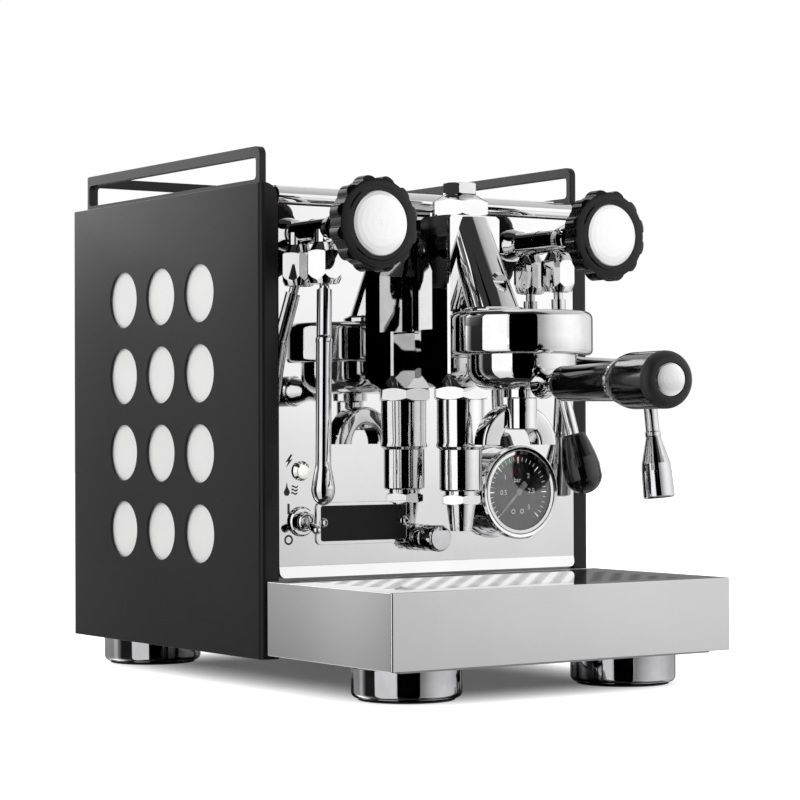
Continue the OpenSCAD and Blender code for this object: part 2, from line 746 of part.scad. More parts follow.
// Teardrop knob of the brew lever
module lever_knob() color("#141414")
    translate(lever_hub + lever_dir * (lever_len - knob_half))
        rotate([0, acos(lever_dir[2]), atan2(lever_dir[1], lever_dir[0])])
            difference() {
                revolve(concat([[0, 0], [7.6, 0], [8.6, 1.2], [10.4, 8], [12.4, 17],
                    [13.2, 23]], arc(0, 2 * knob_half - 13.4, 13.4, 15, 90, 8)), 48);
                translate([0, 0, -eps]) cylinder(r = lever_rod_r, h = 10 + eps, $fn = small_fn);
            }

// ---------------------------------------------------------------- portafilter

handle_z = bell_z - 19.5;                   // axis of the handle
head_low = bell_z - 22.5;                   // underside of the head
root_at = 36;                               // start of the handle's root at the head
collar_at = 59.5;                           // handle's chrome collar from the head's axis
collar_w = 2.5;
ring_at = 132.5;                            // ring between the sleeve and the grip
ring_w = 6;
ring_r = sleeve_r + 2.1;
shoulder_l = 13;                            // grip's rounded shoulder after the ring
end_at = handle_reach - 7.5;                // start of the matt end
core_r = 4;
lip_t = 1;                                  // lip of the basket

// Frame of the portafilter: head's axis on Z, handle along -Y of this frame
module portafilter_frame() translate([0, bell_y, 0]) rotate([0, 0, -handle_angle]) children();
// Frame along the handle: local +Z away from the head
module handle_frame() portafilter_frame() translate([0, 0, handle_z])
    rotate([90, 0, 0]) children();

// Cup of the portafilter with its two lugs, spout boss and handle root
module portafilter_head() color("#d6d7d9") portafilter_frame() difference() {
    union() {
        revolve(concat([[0, head_low]], arc(head_r - 14, head_low + 14, 14, -90, 0, 8),
            [[head_r, rim_z], [0, rim_z]]), 96);
        for (s = [0, 180]) rotate([0, 0, s]) translate([0, 0, lug_z])
            sector(lug_r, lug_angle, lug_h);
        translate([0, 0, head_low - 5]) cylinder(r = 12.5, h = 8);
        translate([0, 0, handle_z]) rotate([90, 0, 0])
            revolve([[0, root_at - 6], [9.5, root_at - 6], [7.4, root_at + 4],
                [7.4, collar_at - 14], [10, collar_at - 2], [10, collar_at], [0, collar_at]]);
    }
    translate([0, 0, head_low + 6]) cylinder(r = head_r - 4.2, h = 60);
    // seat of the basket's lip
    translate([0, 0, rim_z - lip_t]) cylinder(r = head_r - 0.9, h = lip_t + cut);
    translate([0, 0, head_low - 6]) cylinder(r = 5, h = 20, $fn = small_fn);
    // socket of the handle's core
    translate([0, 0, handle_z]) rotate([90, 0, 0]) translate([0, 0, root_at])
        cylinder(r = core_r, h = collar_at - root_at + cut, $fn = small_fn);
}

basket_r = head_r - 5;
// Perforated basket that drops into the head
module filter_basket() color("#bcbdbe") portafilter_frame() translate([0, 0, head_low + 8]) {
    h = rim_z - head_low - 8;
    difference() {
        union() {
            cylinder(r = basket_r, h = h);
            translate([0, 0, h - lip_t]) cylinder(r = head_r - 1, h = lip_t);
        }
        translate([0, 0, 1]) cylinder(r = basket_r - 1.2, h = h + cut);
        for (ring = [1:3], i = [0:6 * ring - 1]) rotate([0, 0, i * 60 / ring])
            translate([7 * ring, 0, -cut]) cylinder(r = 0.8, h = 3, $fn = 16);
    }
}

stem_l = 21;
spout_back = 10;                            // arms behind the stem
duct_t = 13;                                // duct of the arms, across the bend
duct_w = 16;
arm_z = head_low - 5 - 31;                  // middle of the arms' bend

// Double spout: threaded socket and two hollow arms that bend down
module spout() color("#d6d7d9") portafilter_frame() difference() {
    union() {
        translate([0, 0, head_low - 5 - stem_l]) revolve([[0, 0], [9.3, 0], [9.9, 0.8],
            [9.9, stem_l - 0.8], [9.3, stem_l], [0, stem_l]]);
        translate([0, spout_back, arm_z]) rotate([90, 0, 0])
            rotate_extrude(angle = 180, $fn = 64) translate([spout_span, 0])
                round_rect(duct_t, duct_w, 2.5);
    }
    translate([0, spout_back, arm_z]) rotate([90, 0, 0]) rotate([0, 0, -1])
        rotate_extrude(angle = 182, $fn = 64) translate([spout_span, 0])
            square([duct_t - 3, duct_w - 3], center = true);
    translate([0, 0, head_low - 5 - stem_l + 4]) cylinder(r = 6.5, h = stem_l);
}

// Chrome core of the handle with its collar and its ring
module handle_core() color("#d6d7d9") handle_frame() revolve([[0, root_at],
    [core_r, root_at], [core_r, collar_at], [10.4, collar_at], [11.4, collar_at + 1],
    [11.4, collar_at + collar_w], [core_r, collar_at + collar_w], [core_r, ring_at],
    [sleeve_r + 0.6, ring_at], [ring_r, ring_at + ring_w - 1.5], [ring_r, ring_at + ring_w],
    [core_r, ring_at + ring_w], [core_r, handle_reach - 5], [0, handle_reach - 5]]);

// Glossy sleeve and grip, threaded on the core
module handle_grip() color("#121212") handle_frame() {
    a = collar_at + collar_w;
    revolve([[core_r, a], [10.6, a], [11.2, a + 1], [sleeve_r, ring_at - 1],
        [sleeve_r - 0.4, ring_at], [core_r, ring_at]]);
    b = ring_at + ring_w;
    revolve(concat([[core_r, b]],
        [for (i = [0:8]) [ring_r + 0.2 + (grip_r - ring_r - 0.2) * sin(90 * i / 8),
            b + shoulder_l * i / 8]],
        [[grip_r, end_at], [core_r, end_at]]));
}

disc_r = 10.1;
end_straight = 0.5;
// Matt rounded end of the grip with the seat for its disc
module handle_end() color("#262626") handle_frame()
    revolve(concat([[core_r, end_at], [grip_r, end_at]],
        [for (i = [0:10]) [disc_r + 0.8 + (grip_r - disc_r - 0.8) * cos(90 * i / 10),
            end_at + end_straight
                + (handle_reach - 1 - end_at - end_straight) * sin(90 * i / 10)]],
        [[disc_r + 0.2, handle_reach - 1], [disc_r + 0.2, handle_reach - 3],
        [core_r, handle_reach - 3]]));

// Plain domed disc in the handle's end
module handle_disc() color("#cfcfd0") handle_frame() translate([0, 0, handle_reach - 3])
    revolve(concat([[0, 0], [disc_r, 0], [disc_r, 1.4]],
        [for (i = [1:6]) [disc_r * cos(15 * i), 1.4 + 1.6 * sin(15 * i)]]));

// ---------------------------------------------------------------- valves

knob_t = 15.5;
knob_back = knob_reach - knob_t;
stem_r = 4;
branch_r = 7;
joint_y = mirror_y - joint_reach;
joint_z = valve_z - 26;                     // middle of the wands' balls
nut_low = joint_z - 9.8;
joint_nut_h = 22;
nut_top = nut_low + joint_nut_h;
cavity_r = 8.6;                             // cavity of the ball joint's nut
seat_low = nut_low + 3.8;

bonnet_turn = 37;                           // how the bonnet's hexagon is screwed home
// Valve body, bonnet and the branch down to the ball joint
module valve_body(s) color("#cfd0d2") difference() {
    union() {
        from_panel(s * valve_x, valve_z) rotate([0, 0, bonnet_turn]) {
            revolve([[0, -14], [valve_r, -14], [valve_r, 22], [valve_r + 1.2, 23],
                [10.5, 28], [11.5, 32], [11.5, 38], [9, 40], [9, 42], [0, 42]]);
            translate([0, 0, 42 - eps]) hex_nut(17, knob_back - 42 - 6);
        }
        translate([s * joint_x, joint_y, nut_top])
            revolve([[0, 0], [10, 0], [branch_r, 5.6], [branch_r, valve_z - nut_top],
                [0, valve_z - nut_top]], 48);
    }
    from_panel(s * valve_x, valve_z) translate([0, 0, 34])
        cylinder(r = stem_r + run_fit, h = knob_reach);
}
module steam_valve() valve_body(-1);
module water_valve() valve_body(1);

// Spindle that carries a knob
module valve_stem(s) color("#b9babb") from_panel(s * valve_x, valve_z)
    translate([0, 0, 35]) cylinder(r = stem_r, h = knob_back + 12 - 35);
module steam_stem() valve_stem(-1);
module water_stem() valve_stem(1);

disc_seat_r = 21.2;
lobe_r = 5.4;
knob_core_r = knob_d / 2 - 2.6;             // bottom of the valleys between the lobes
// Lobed hand knob with chamfered lobes and a seat for its disc
module valve_knob(s) color("#161616") from_panel(s * valve_x, valve_z) difference() {
    r = knob_d / 2;
    intersection() {
        translate([0, 0, knob_back]) linear_extrude(knob_t) {
            circle(knob_core_r, $fn = 96);
            for (i = [0:knob_lobes - 1]) rotate(360 / knob_lobes * (i + 0.5))
                translate([r - lobe_r, 0]) circle(lobe_r, $fn = 24);
        }
        revolve([[0, knob_back], [r - 7, knob_back], [r - 2, knob_back + 1.6],
            [r + 1, knob_back + 4], [r + 1, knob_reach - 4.2], [r - 1.4, knob_reach - 2.2],
            [r - 4, knob_reach - 1.3], [disc_seat_r + 3.2, knob_reach - 1],
            [disc_seat_r + 2.4, knob_reach], [0, knob_reach]], 96);
    }
    translate([0, 0, knob_reach - 1.6]) cylinder(r = disc_seat_r, h = 4);
    translate([0, 0, knob_back - cut]) cylinder(r = stem_r + run_fit, h = 14);
}
module steam_knob() valve_knob(-1);
module water_knob() valve_knob(1);

// Plain domed disc set in a knob
module knob_disc(s) color("#d8d8d8") from_panel(s * valve_x, valve_z)
    translate([0, 0, knob_reach - 1.6]) revolve(concat([[0, 0], [disc_seat_r - 0.1, 0]],
        [for (i = [0:6]) [(disc_seat_r - 0.1) * cos(15 * i), 1.4 + 2 * sin(15 * i)]]));
module steam_knob_disc() knob_disc(-1);
module water_knob_disc() knob_disc(1);

// Nut of a wand's ball joint, open below
module ball_nut(s) color("#d9dadc") translate([s * joint_x, joint_y, nut_low]) difference() {
    intersection() {
        hex_nut(22, joint_nut_h, 0, 1);
        revolve([[0, 0], [9.6, 0], [12.8, 6.5], [12.8, joint_nut_h], [0, joint_nut_h]]);
    }
    translate([0, 0, 3.5]) cylinder(r = cavity_r, h = joint_nut_h - 3.5 - 3);
    translate([0, 0, joint_nut_h - 4]) cylinder(r = branch_r - 1, h = 4 + cut);
    translate([0, 0, -eps]) cylinder(r1 = 8.7, r2 = 6.9, h = 3.5 + 2 * eps);
}
module steam_ball_nut() ball_nut(-1);
module water_ball_nut() ball_nut(1);

// Sealing seat under the ball, turning inside the nut
module ball_seat(s) color("#e8e6df") translate([s * joint_x, joint_y, 0]) difference() {
    translate([0, 0, seat_low]) cylinder(r = cavity_r - move_gap, h = 4.4);
    translate([0, 0, joint_z]) sphere(r = ball_r + move_gap, $fn = 64);
    translate([0, 0, seat_low - cut]) cylinder(r = 6.9, h = 8);
}
module steam_ball_seat() ball_seat(-1);
module water_ball_seat() ball_seat(1);

steam_ball = [-joint_x, joint_y, joint_z];
steam_knee = steam_ball + [-8, -11.8, -48];
steam_end = steam_knee + [-7.6, -10.6, -80];
water_ball = [joint_x, joint_y, joint_z];
water_knee = water_ball + [1.2, -1.2, -59.5];
water_elbow = water_knee + [52.5, -31.3, -3.8];
water_end = water_elbow + [1.1, -5.2, -45];
stub_r = 3.3;
bend_r = 17;                                // radius of a wand's bends
seam_lap = 0.5;                             // how far a straight leg reaches over a bend
seam_step = 0.02;                           // and by how much it is thicker there
sleeve_from = 15;                           // start of the sleeve below the ball

// Unit vector from a to b
function dir(a, b) = (b - a) / norm(b - a);
// Angle by which the path p turns at its point i, 0 at its ends
function turn(p, i) = i < 1 || i > len(p) - 2 ? 0 :
    acos(dir(p[i - 1], p[i]) * dir(p[i], p[i + 1]));
// Length that the bend at the point i takes from both of its legs
function bend_reach(p, i) = bend_r * tan(turn(p, i) / 2);

// Part of a torus at the corner i of the path p
module tube_bend(p, i, r) {
    y = dir(p[i - 1], p[i]);
    z = cross(y, dir(p[i], p[i + 1])) / sin(turn(p, i));
    x = cross(y, z);
    start = p[i] - y * bend_reach(p, i) - x * bend_r;
    multmatrix([for (k = [0:2]) [x[k], y[k], z[k], start[k]]])
        rotate_extrude(angle = turn(p, i), $fn = 72)
            translate([bend_r, 0]) circle(r, $fn = small_fn);
}

// Round tube along the path p, bent at its corners
module bent_tube(p, r) {
    last = len(p) - 2;
    for (i = [0:last]) {
        d = dir(p[i], p[i + 1]);
        rod(p[i] + d * (bend_reach(p, i) - (i > 0 ? seam_lap : 0)),
            p[i + 1] - d * (bend_reach(p, i + 1) - (i < last ? seam_lap : 0)),
            r + seam_step, r + seam_step);
    }
    for (i = [1:last]) tube_bend(p, i, r);
}

// Ball and stub of a wand, from the ball's middle towards the point q
module ball_and_stub(ball, q) {
    translate(ball) sphere(r = ball_r, $fn = 64);
    rod(ball, ball + dir(ball, q) * (sleeve_from + 3), stub_r, stub_r);
}

// Steam wand: ball, stub, sleeve, knee and the tube down to the tip
module steam_wand() color("#d6d7d9") {
    ball_and_stub(steam_ball, steam_knee);
    rod(steam_ball + dir(steam_ball, steam_knee) * sleeve_from, steam_knee, wand_r, wand_r);
    translate(steam_knee) sphere(r = wand_r + 0.6, $fn = 48);
    rod(steam_knee, steam_end, wand_r + 0.3, wand_r);
}

// Hot-water wand: ball, stub, sleeve and the tube bent out to the side
module water_wand() color("#d6d7d9") {
    d = dir(water_ball, water_knee);
    ball_and_stub(water_ball, water_knee);
    rod(water_ball + d * sleeve_from, water_ball + d * (sleeve_from + 16), wand_r, wand_r);
    bent_tube([water_ball + d * sleeve_from, water_knee, water_elbow, water_end], wand_r - 0.3);
}

// Frame at p pointing along d
module aim(p, d) translate(p) rotate([0, acos(d[2]), atan2(d[1], d[0])]) children();

// Onion-shaped steam tip with its outlet holes
module steam_tip() color("#d6d7d9") aim(steam_end, dir(steam_knee, steam_end)) difference() {
    revolve(concat([[0, 0], [wand_r, 0], [wand_r + 0.3, 2], [wand_r + 1.2, 5],
        [7.4, 9.5]], arc(0, 12.6, 7.9, 0, 90, 8)), 48);
    for (a = [0:90:270]) rotate([0, 0, a]) translate([3, 0, 16])
        rotate([0, 25, 0]) cylinder(r = 0.8, h = 6, $fn = 16);
}

nozzle_l = 47;
nozzle_r = 11;
// Bottle-shaped nozzle of the hot-water wand, open below
module water_nozzle() color("#d6d7d9") aim(water_end, dir(water_elbow, water_end)) difference() {
    revolve([[0, 0], [wand_r, 0], [wand_r + 0.4, 1], [wand_r + 0.4, 3.5], [wand_r, 4.2],
        [nozzle_r - 2.3, 18], [nozzle_r - 0.9, 23], [nozzle_r - 0.4, 28],
        [nozzle_r, nozzle_l - 0.8],
        [nozzle_r - 0.8, nozzle_l], [0, nozzle_l]]);
    translate([0, 0, nozzle_l - 16]) cylinder(r = nozzle_r - 2, h = 16 + cut);
}

// ---------------------------------------------------------------- fittings

bat_pivot = 4;                              // toggle's pivot out of the panel
bat_angle = 18;                             // toggle's slope when it is down
bat_l = 19.5;

// Threaded bush and round nut of the toggle switch
module toggle_bushing() color("#cfd0d2") from_panel(-switch_x, switch_z) difference() {
    revolve([[0, -12], [bush_r, -12], [bush_r, 0], [9.5, 0], [9.5, 2.2], [8.7, 3],
        [bush_r + 0.8, 3], [bush_r + 0.8, 4.4], [bush_r, 5], [bush_r, 7.4], [bush_r - 0.6, 8],
        [0, 8]]);
    translate([0, 0, bat_pivot]) sphere(r = 3.6, $fn = small_fn);
    translate([0, 0, bat_pivot]) cylinder(r1 = 2.8, r2 = 5, h = 4 + eps);
}

// Bat of the toggle switch, pointing forward and down
module toggle_bat() color("#d6d7d9") from_panel(-switch_x, switch_z)
    translate([0, 0, bat_pivot]) {
        sphere(r = 3.3, $fn = small_fn);
        rotate([bat_angle, 0, 0]) {
            cylinder(r1 = 1.6, r2 = 3, h = bat_l - 3, $fn = small_fn);
            translate([0, 0, bat_l - 3]) sphere(r = 3, $fn = small_fn);
        }
    }

// Bezel of the indicator lamp with its domed lens
module lamp_bezel() color("#d6d7d9") from_panel(-switch_x, lamp_z)
    revolve(concat([[0, -10], [lamp_neck_r, -10], [lamp_neck_r, 0], [6.6, 0], [6.6, 1.2],
        [5.2, 3.4], [4.2, 3.6], [4.2, 3]],
        [for (i = [0:5]) [4 * cos(18 * i), 3 + 2.8 * sin(18 * i)]]), 48);

gauge_r = gauge_d / 2;
dial_r = gauge_r - 4;
dial_at = gauge_reach - 5.5;                // floor of the gauge's case
glass_at = gauge_reach - 2.2;
needle_at = dial_at + 1.3;
pin_r = 0.8;

// Case and bezel of the pressure gauge
module gauge_case() color("#d9dadc") from_panel(gauge_x, gauge_z) difference() {
    revolve([[0, -10], [gauge_neck_r, -10], [gauge_neck_r, 0], [gauge_r - 1.5, 0],
        [gauge_r - 1.5, gauge_reach - 5], [gauge_r, gauge_reach - 4.6], [gauge_r, gauge_reach - 1.6],
        [gauge_r - 1.2, gauge_reach], [dial_r + 0.6, gauge_reach - 0.6], [dial_r, gauge_reach - 1.2],
        [dial_r, dial_at], [0, dial_at]], 96);
    translate([0, 0, dial_at - 4]) cylinder(r = pin_r + run_fit, h = 5, $fn = small_fn);
}

// Needle at zero, pointing down to the left
module gauge_needle() color("#e9e8e4") from_panel(gauge_x, gauge_z) {
    translate([0, 0, dial_at - 3.5]) cylinder(r = pin_r, h = 5, $fn = small_fn);
    translate([0, 0, needle_at]) {
        cylinder(r = 2.4, h = 1.2, $fn = small_fn);
        rotate([0, 0, -135]) linear_extrude(0.6)
            polygon([[-9, -1.9], [-7, -2.3], [2, -1.1], [dial_r - 6, -0.45],
                [dial_r - 5, 0], [dial_r - 6, 0.45], [2, 1.1], [-7, 2.3], [-9, 1.9]]);
    }
}

// Flat glass of the gauge
module gauge_glass() color([0.9, 0.93, 0.94, 0.35]) from_panel(gauge_x, gauge_z)
    translate([0, 0, glass_at]) cylinder(r = dial_r, h = 1);

// Knurled thumb screw
module thumb_screw() color("#d0d1d3") from_panel(-thumb_x, thumb_z) {
    translate([0, 0, -8]) cylinder(r = thumb_shank_r, h = 12, $fn = small_fn);
    r = thumb_d / 2;
    revolve([[0, move_gap], [r - 2.5, move_gap], [r - 2.5, 3], [r, 3.4], [r, 9],
        [r - 0.5, 9.4], [r - 0.5, 10.4], [r, 10.8], [r, thumb_l - 2], [r - 0.6, thumb_l - 0.6],
        [r - 1.4, thumb_l], [0, thumb_l]]);
}

// ---------------------------------------------------------------- inside

boiler_x = -12;
boiler_y = mirror_y + 22 + boiler_d / 2;
boiler_drop = 108;                          // depth of its axis below the panels' top
boiler_z = panel_top - boiler_drop;

boiler_wall = 3;
port_r = 3;                                 // steam port on top of the boiler

// Hollow boiler with domed ends, flange, element boss, steam port and its
// feet on the base pan
module boiler() color("#b87a4b") {
    r = boiler_d / 2;
    ri = r - boiler_wall;
    difference() {
        union() {
            translate([boiler_x - boiler_l / 2, boiler_y, boiler_z]) rotate([0, 90, 0])
                revolve([[0, 0], [r - 14, 0], [r - 4, 5], [r, 14], [r, boiler_l - 16],
                    [r + 4, boiler_l - 16], [r + 4, boiler_l - 4], [r - 8, boiler_l - 4],
                    [r - 12, boiler_l], [22, boiler_l], [22, boiler_l + 8],
                    [0, boiler_l + 8]], 72);
            translate([boiler_x, boiler_y, boiler_z]) cylinder(r = 2.2 * port_r, h = r + 9);
        }
        translate([boiler_x - boiler_l / 2, boiler_y, boiler_z]) rotate([0, 90, 0])
            revolve([[0, boiler_wall], [ri - 12, boiler_wall], [ri - 3, 8], [ri, 16],
                [ri, boiler_l - 10], [0, boiler_l - 10]], 72);
        translate([boiler_x, boiler_y, boiler_z]) cylinder(r = port_r, h = r + 9 + cut);
    }
    for (s = [-1, 1]) translate([boiler_x + s * (boiler_l / 2 - 40) - 10, boiler_y - 1.5,
            base_z + sheet])
        cube([20, 3, boiler_z - base_z - sheet - r + 4]);
    for (s = [-1, 1]) translate([boiler_x + s * (boiler_l / 2 - 40) - 10, boiler_y - 20,
            base_z + sheet])
        cube([20, 40, 3]);
}

pump_r = 19;
pump_l = 96;
pump_x = half_w - 49;
pump_y = mirror_y + 90;                     // middle of the pump
pump_z = base_z + 50;                       // axis above the base pan
// Vibration pump on its bracket
module pump() color("#8c8d90") {
    translate([pump_x, pump_y - pump_l / 2, pump_z]) rotate([-90, 0, 0]) revolve([[0, 0],
        [5, 0], [5, 14], [12, 14], [12, 22], [pump_r, 22], [pump_r, 72], [9, 72], [9, 86],
        [4, 86], [4, pump_l], [0, pump_l]], 48);
    translate([pump_x - 14, pump_y - 16, base_z + sheet]) cube([28, 36, pump_z - base_z - sheet - 12]);
}

tank_wall = 2.5;
// Open-topped water tank with a grip rim
module water_tank() color([0.75, 0.78, 0.8, 0.6])
    translate([tank_x, tank_y, shelf_z + move_gap]) {
        linear_extrude(tank_wall) round_rect(tank_w - 6, tank_d - 6, 8);
        linear_extrude(tank_h) difference() {
            round_rect(tank_w - 6, tank_d - 6, 8);
            round_rect(tank_w - 6 - 2 * tank_wall, tank_d - 6 - 2 * tank_wall, 6);
        }
        translate([0, 0, tank_h - 3]) linear_extrude(3) difference() {
            round_rect(tank_w, tank_d, 10);
            round_rect(tank_w - 6 - 2 * tank_wall, tank_d - 6 - 2 * tank_wall, 6);
        }
    }

side_panel_left();
side_panel_right();
side_inlays();
front_panel();
rear_panel();
base_pan();
top_frame();
cup_tray();
cup_rail_left();
cup_rail_right();
cup_rail_rear();
foot_cups();
foot_pads();
drip_tray();
drip_grate();
group_body();
group_bell();
mushroom_cap();
jet_plug();
ring_nut();
discharge_tube();
discharge_nozzle();
shower_screen();
group_gasket();
lever_gland();
lever_arm();
lever_knob();
portafilter_head();
filter_basket();
spout();
handle_core();
handle_grip();
handle_end();
handle_disc();
steam_valve();
water_valve();
steam_knob();
water_knob();
steam_knob_disc();
water_knob_disc();
steam_stem();
water_stem();
steam_ball_nut();
water_ball_nut();
steam_ball_seat();
water_ball_seat();
steam_wand();
water_wand();
steam_tip();
water_nozzle();
toggle_bushing();
toggle_bat();
lamp_bezel();
gauge_case();
gauge_needle();
gauge_glass();
thumb_screw();
boiler();
pump();
water_tank();
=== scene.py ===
# %% [markdown]
# # Espresso machine: looks
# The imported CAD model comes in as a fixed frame. This file gives each of its
# pieces the finish of the real material, adds the small things that are
# printed, screwed or set on the machine, and sets up a plain studio.

# %% Load the frame
import json
import math

import bmesh
import bpy
from mathutils import Matrix, Vector


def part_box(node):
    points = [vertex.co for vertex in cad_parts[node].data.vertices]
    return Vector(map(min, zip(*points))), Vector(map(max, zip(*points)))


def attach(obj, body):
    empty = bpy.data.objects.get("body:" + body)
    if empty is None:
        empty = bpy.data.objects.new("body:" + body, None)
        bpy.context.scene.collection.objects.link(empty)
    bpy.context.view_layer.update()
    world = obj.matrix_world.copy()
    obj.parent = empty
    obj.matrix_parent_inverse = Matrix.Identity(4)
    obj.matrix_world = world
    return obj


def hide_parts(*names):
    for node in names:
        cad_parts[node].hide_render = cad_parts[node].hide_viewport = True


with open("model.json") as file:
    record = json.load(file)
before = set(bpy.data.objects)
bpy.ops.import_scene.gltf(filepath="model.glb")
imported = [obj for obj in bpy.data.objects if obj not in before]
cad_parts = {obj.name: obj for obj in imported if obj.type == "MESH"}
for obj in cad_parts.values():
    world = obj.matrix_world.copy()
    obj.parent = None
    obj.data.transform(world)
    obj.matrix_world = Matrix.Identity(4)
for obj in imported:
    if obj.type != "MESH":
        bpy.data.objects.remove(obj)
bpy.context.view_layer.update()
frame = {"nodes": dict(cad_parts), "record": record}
nodes = frame["nodes"]
body_of = {node: body for body, members in
           frame["record"]["behaviour"]["bodies"].items() for node in members}
MM = 0.001
PANEL_Y = -60.5                      # front face of the mirror panel, in millimetres

# %% [markdown]
# ## Helpers for materials
# Colours are written as sRGB hex, the way a maker's colour card gives them,
# and one function turns them to the linear values that shaders use. Another
# adds a shader node with its settings and its links. The last one makes a
# whole finish: its colour and its gloss drift over patches of a real size.


# %% Helpers for colours and nodes
def linear(hex_colour):
    """Linear RGBA of an sRGB hex colour such as '#1d1d1e'."""
    values = [int(hex_colour[i:i + 2], 16) / 255 for i in (1, 3, 5)]
    return [v / 12.92 if v <= 0.04045 else ((v + 0.055) / 1.055) ** 2.4
            for v in values] + [1.0]


def add(tree, kind, inputs=(), **settings):
    """Adds a shader node: settings are its properties, inputs its sockets."""
    node = tree.nodes.new("ShaderNode" + kind)
    for name, value in settings.items():
        setattr(node, name, value)
    for name, value in dict(inputs).items():
        if isinstance(value, bpy.types.NodeSocket):
            tree.links.new(value, node.inputs[name])
        else:
            node.inputs[name].default_value = value
    return node


def new_material(name):
    """An empty material and its node tree; each finish adds its own nodes."""
    material = bpy.data.materials.new(name)
    material.use_nodes = True
    material.node_tree.nodes.clear()
    return material, material.node_tree


def grain(tree, size_mm, stretch=(1, 1, 1), detail=3.0):
    """Noise whose cells are size_mm across, longer along an axis by stretch."""
    where = add(tree, "TexCoord").outputs["Object"]
    scaled = add(tree, "Mapping", {"Vector": where,
                 "Scale": [1 / s for s in stretch]})
    return add(tree, "TexNoise", {"Vector": scaled.outputs["Vector"],
               "Scale": 1 / (size_mm * MM), "Detail": detail}).outputs["Fac"]


def between(tree, factor, low, high):
    """Maps a noise value, mostly 0.35 to 0.65, to the range from low to high."""
    return add(tree, "MapRange", {"Value": factor, "From Min": 0.35,
               "From Max": 0.65, "To Min": low, "To Max": high}).outputs["Result"]


def tint(tree, factor, dark, light):
    """Mixes two sRGB colours by a factor."""
    mix = add(tree, "Mix", {}, data_type="RGBA")
    tree.links.new(factor, mix.inputs[0])
    mix.inputs[6].default_value = linear(dark)
    mix.inputs[7].default_value = linear(light)
    return mix.outputs[2]


def surface(name, shader_inputs, colours, patch_mm, rough, bump_mm=0.0,
            bump_cell_mm=0.3, stretch=(1, 1, 1)):
    """A finish: colour and roughness drift over patches, bump has fine cells."""
    material, tree = new_material(name)
    patch = grain(tree, patch_mm, detail=4.0)
    inputs = {"Base Color": tint(tree, between(tree, patch, 0.0, 1.0), *colours),
              "Roughness": between(tree, patch, *rough)}
    inputs.update(shader_inputs)
    if bump_mm:
        cells = grain(tree, bump_cell_mm, stretch, detail=2.0)
        bump = add(tree, "Bump", {"Height": cells, "Strength": 1.0,
                   "Distance": bump_mm * MM})
        inputs["Normal"] = bump.outputs["Normal"]
    shader = add(tree, "BsdfPrincipled", inputs)
    add(tree, "OutputMaterial", {"Surface": shader.outputs["BSDF"]})
    return material


# %% [markdown]
# ## Painted and moulded finishes
# The side panels and the cup rail are steel with a fine satin powder coat: it
# is nearly black, drifts a little in gloss and has a faint orange peel. The
# knobs and the handle are black phenolic resin, polished until it mirrors.

# %% Paints, plastics and rubber
powder_coat = surface("black_powder_coat", {"Specular IOR Level": 0.3},
                      ("#111111", "#161616"), 60, (0.34, 0.38), bump_mm=0.002,
                      bump_cell_mm=0.5)
white_paint = surface("white_enamel_sheet", {}, ("#efefee", "#f3f3f2"), 40,
                      (0.32, 0.42), bump_mm=0.002, bump_cell_mm=0.6)
bakelite = surface("black_bakelite", {"Coat Weight": 0.3, "Coat Roughness": 0.03},
                   ("#070707", "#0b0b0b"), 12, (0.07, 0.12))
knob_bakelite = surface("tumbled_black_bakelite", {"Specular IOR Level": 0.3},
                        ("#050505", "#090909"), 9, (0.13, 0.19))
matt_plastic = surface("matt_black_plastic", {}, ("#1a1a1a", "#222222"), 6,
                       (0.42, 0.55), bump_mm=0.008, bump_cell_mm=0.25)
rubber = surface("black_rubber", {}, ("#131313", "#1d1d1d"), 5, (0.6, 0.8),
                 bump_mm=0.01, bump_cell_mm=0.3)
ptfe = surface("white_ptfe", {}, ("#dcd9d0", "#e6e3da"), 3, (0.35, 0.5))
tank_plastic = surface("tank_plastic", {"Alpha": 0.55}, ("#b9c0c6", "#c6ccd1"),
                       30, (0.15, 0.25))
print("paints ready")

# %% [markdown]
# ## Metals
# Chromed brass and polished stainless steel show little but their
# surroundings, so their nodes only add a trace of uneven polish. The drip
# tray has a satin grain whose scratches run along the sheet.

# %% Metals
METAL = {"Metallic": 1.0}
chrome = surface("chromed_brass", METAL, ("#e6e6e6", "#ececec"), 9,
                 (0.015, 0.035))
polished_steel = surface("polished_stainless", METAL, ("#d4d4d6", "#dddddf"), 8,
                         (0.02, 0.06))
mirror_steel = surface("mirror_stainless", METAL, ("#e4e4e4", "#e9e9e9"), 50,
                       (0.012, 0.03), bump_mm=0.0015, bump_cell_mm=18)
satin_steel = surface("satin_stainless", METAL, ("#dcdcdc", "#e1e1e1"), 80,
                      (0.2, 0.22), bump_mm=0.0004, bump_cell_mm=0.35,
                      stretch=(40, 40, 1))
satin_aluminium = surface("satin_aluminium", METAL, ("#ececec", "#f0f0f0"), 6,
                          (0.2, 0.24))
zinc_sheet = surface("zinc_plated_sheet", METAL, ("#9b9ca0", "#b2b3b6"), 7,
                     (0.3, 0.5), bump_mm=0.003, bump_cell_mm=0.8)
copper = surface("boiler_copper", METAL, ("#a96a48", "#c98a63"), 14,
                 (0.22, 0.4), bump_mm=0.004, bump_cell_mm=1.2)
pump_metal = surface("pump_steel", METAL, ("#77787b", "#8c8d90"), 9, (0.3, 0.45))
needle_paint = surface("needle_enamel", {}, ("#cfcecb", "#deddda"), 3,
                       (0.3, 0.4))
print("metals ready")

# %% [markdown]
# ## Glass, and which node gets which finish
# The gauge's glass is a flat disc: clear, with a sharp reflection. Each node's
# slot in the record names its real material. Three nodes differ in polish
# from the rest of their slot.

# %% Glass and the finishes of the nodes
gauge_glass = surface("gauge_glass", {"Transmission Weight": 1.0, "IOR": 1.75},
                      ("#f4f6f6", "#fafbfb"), 10, (0.0, 0.01))

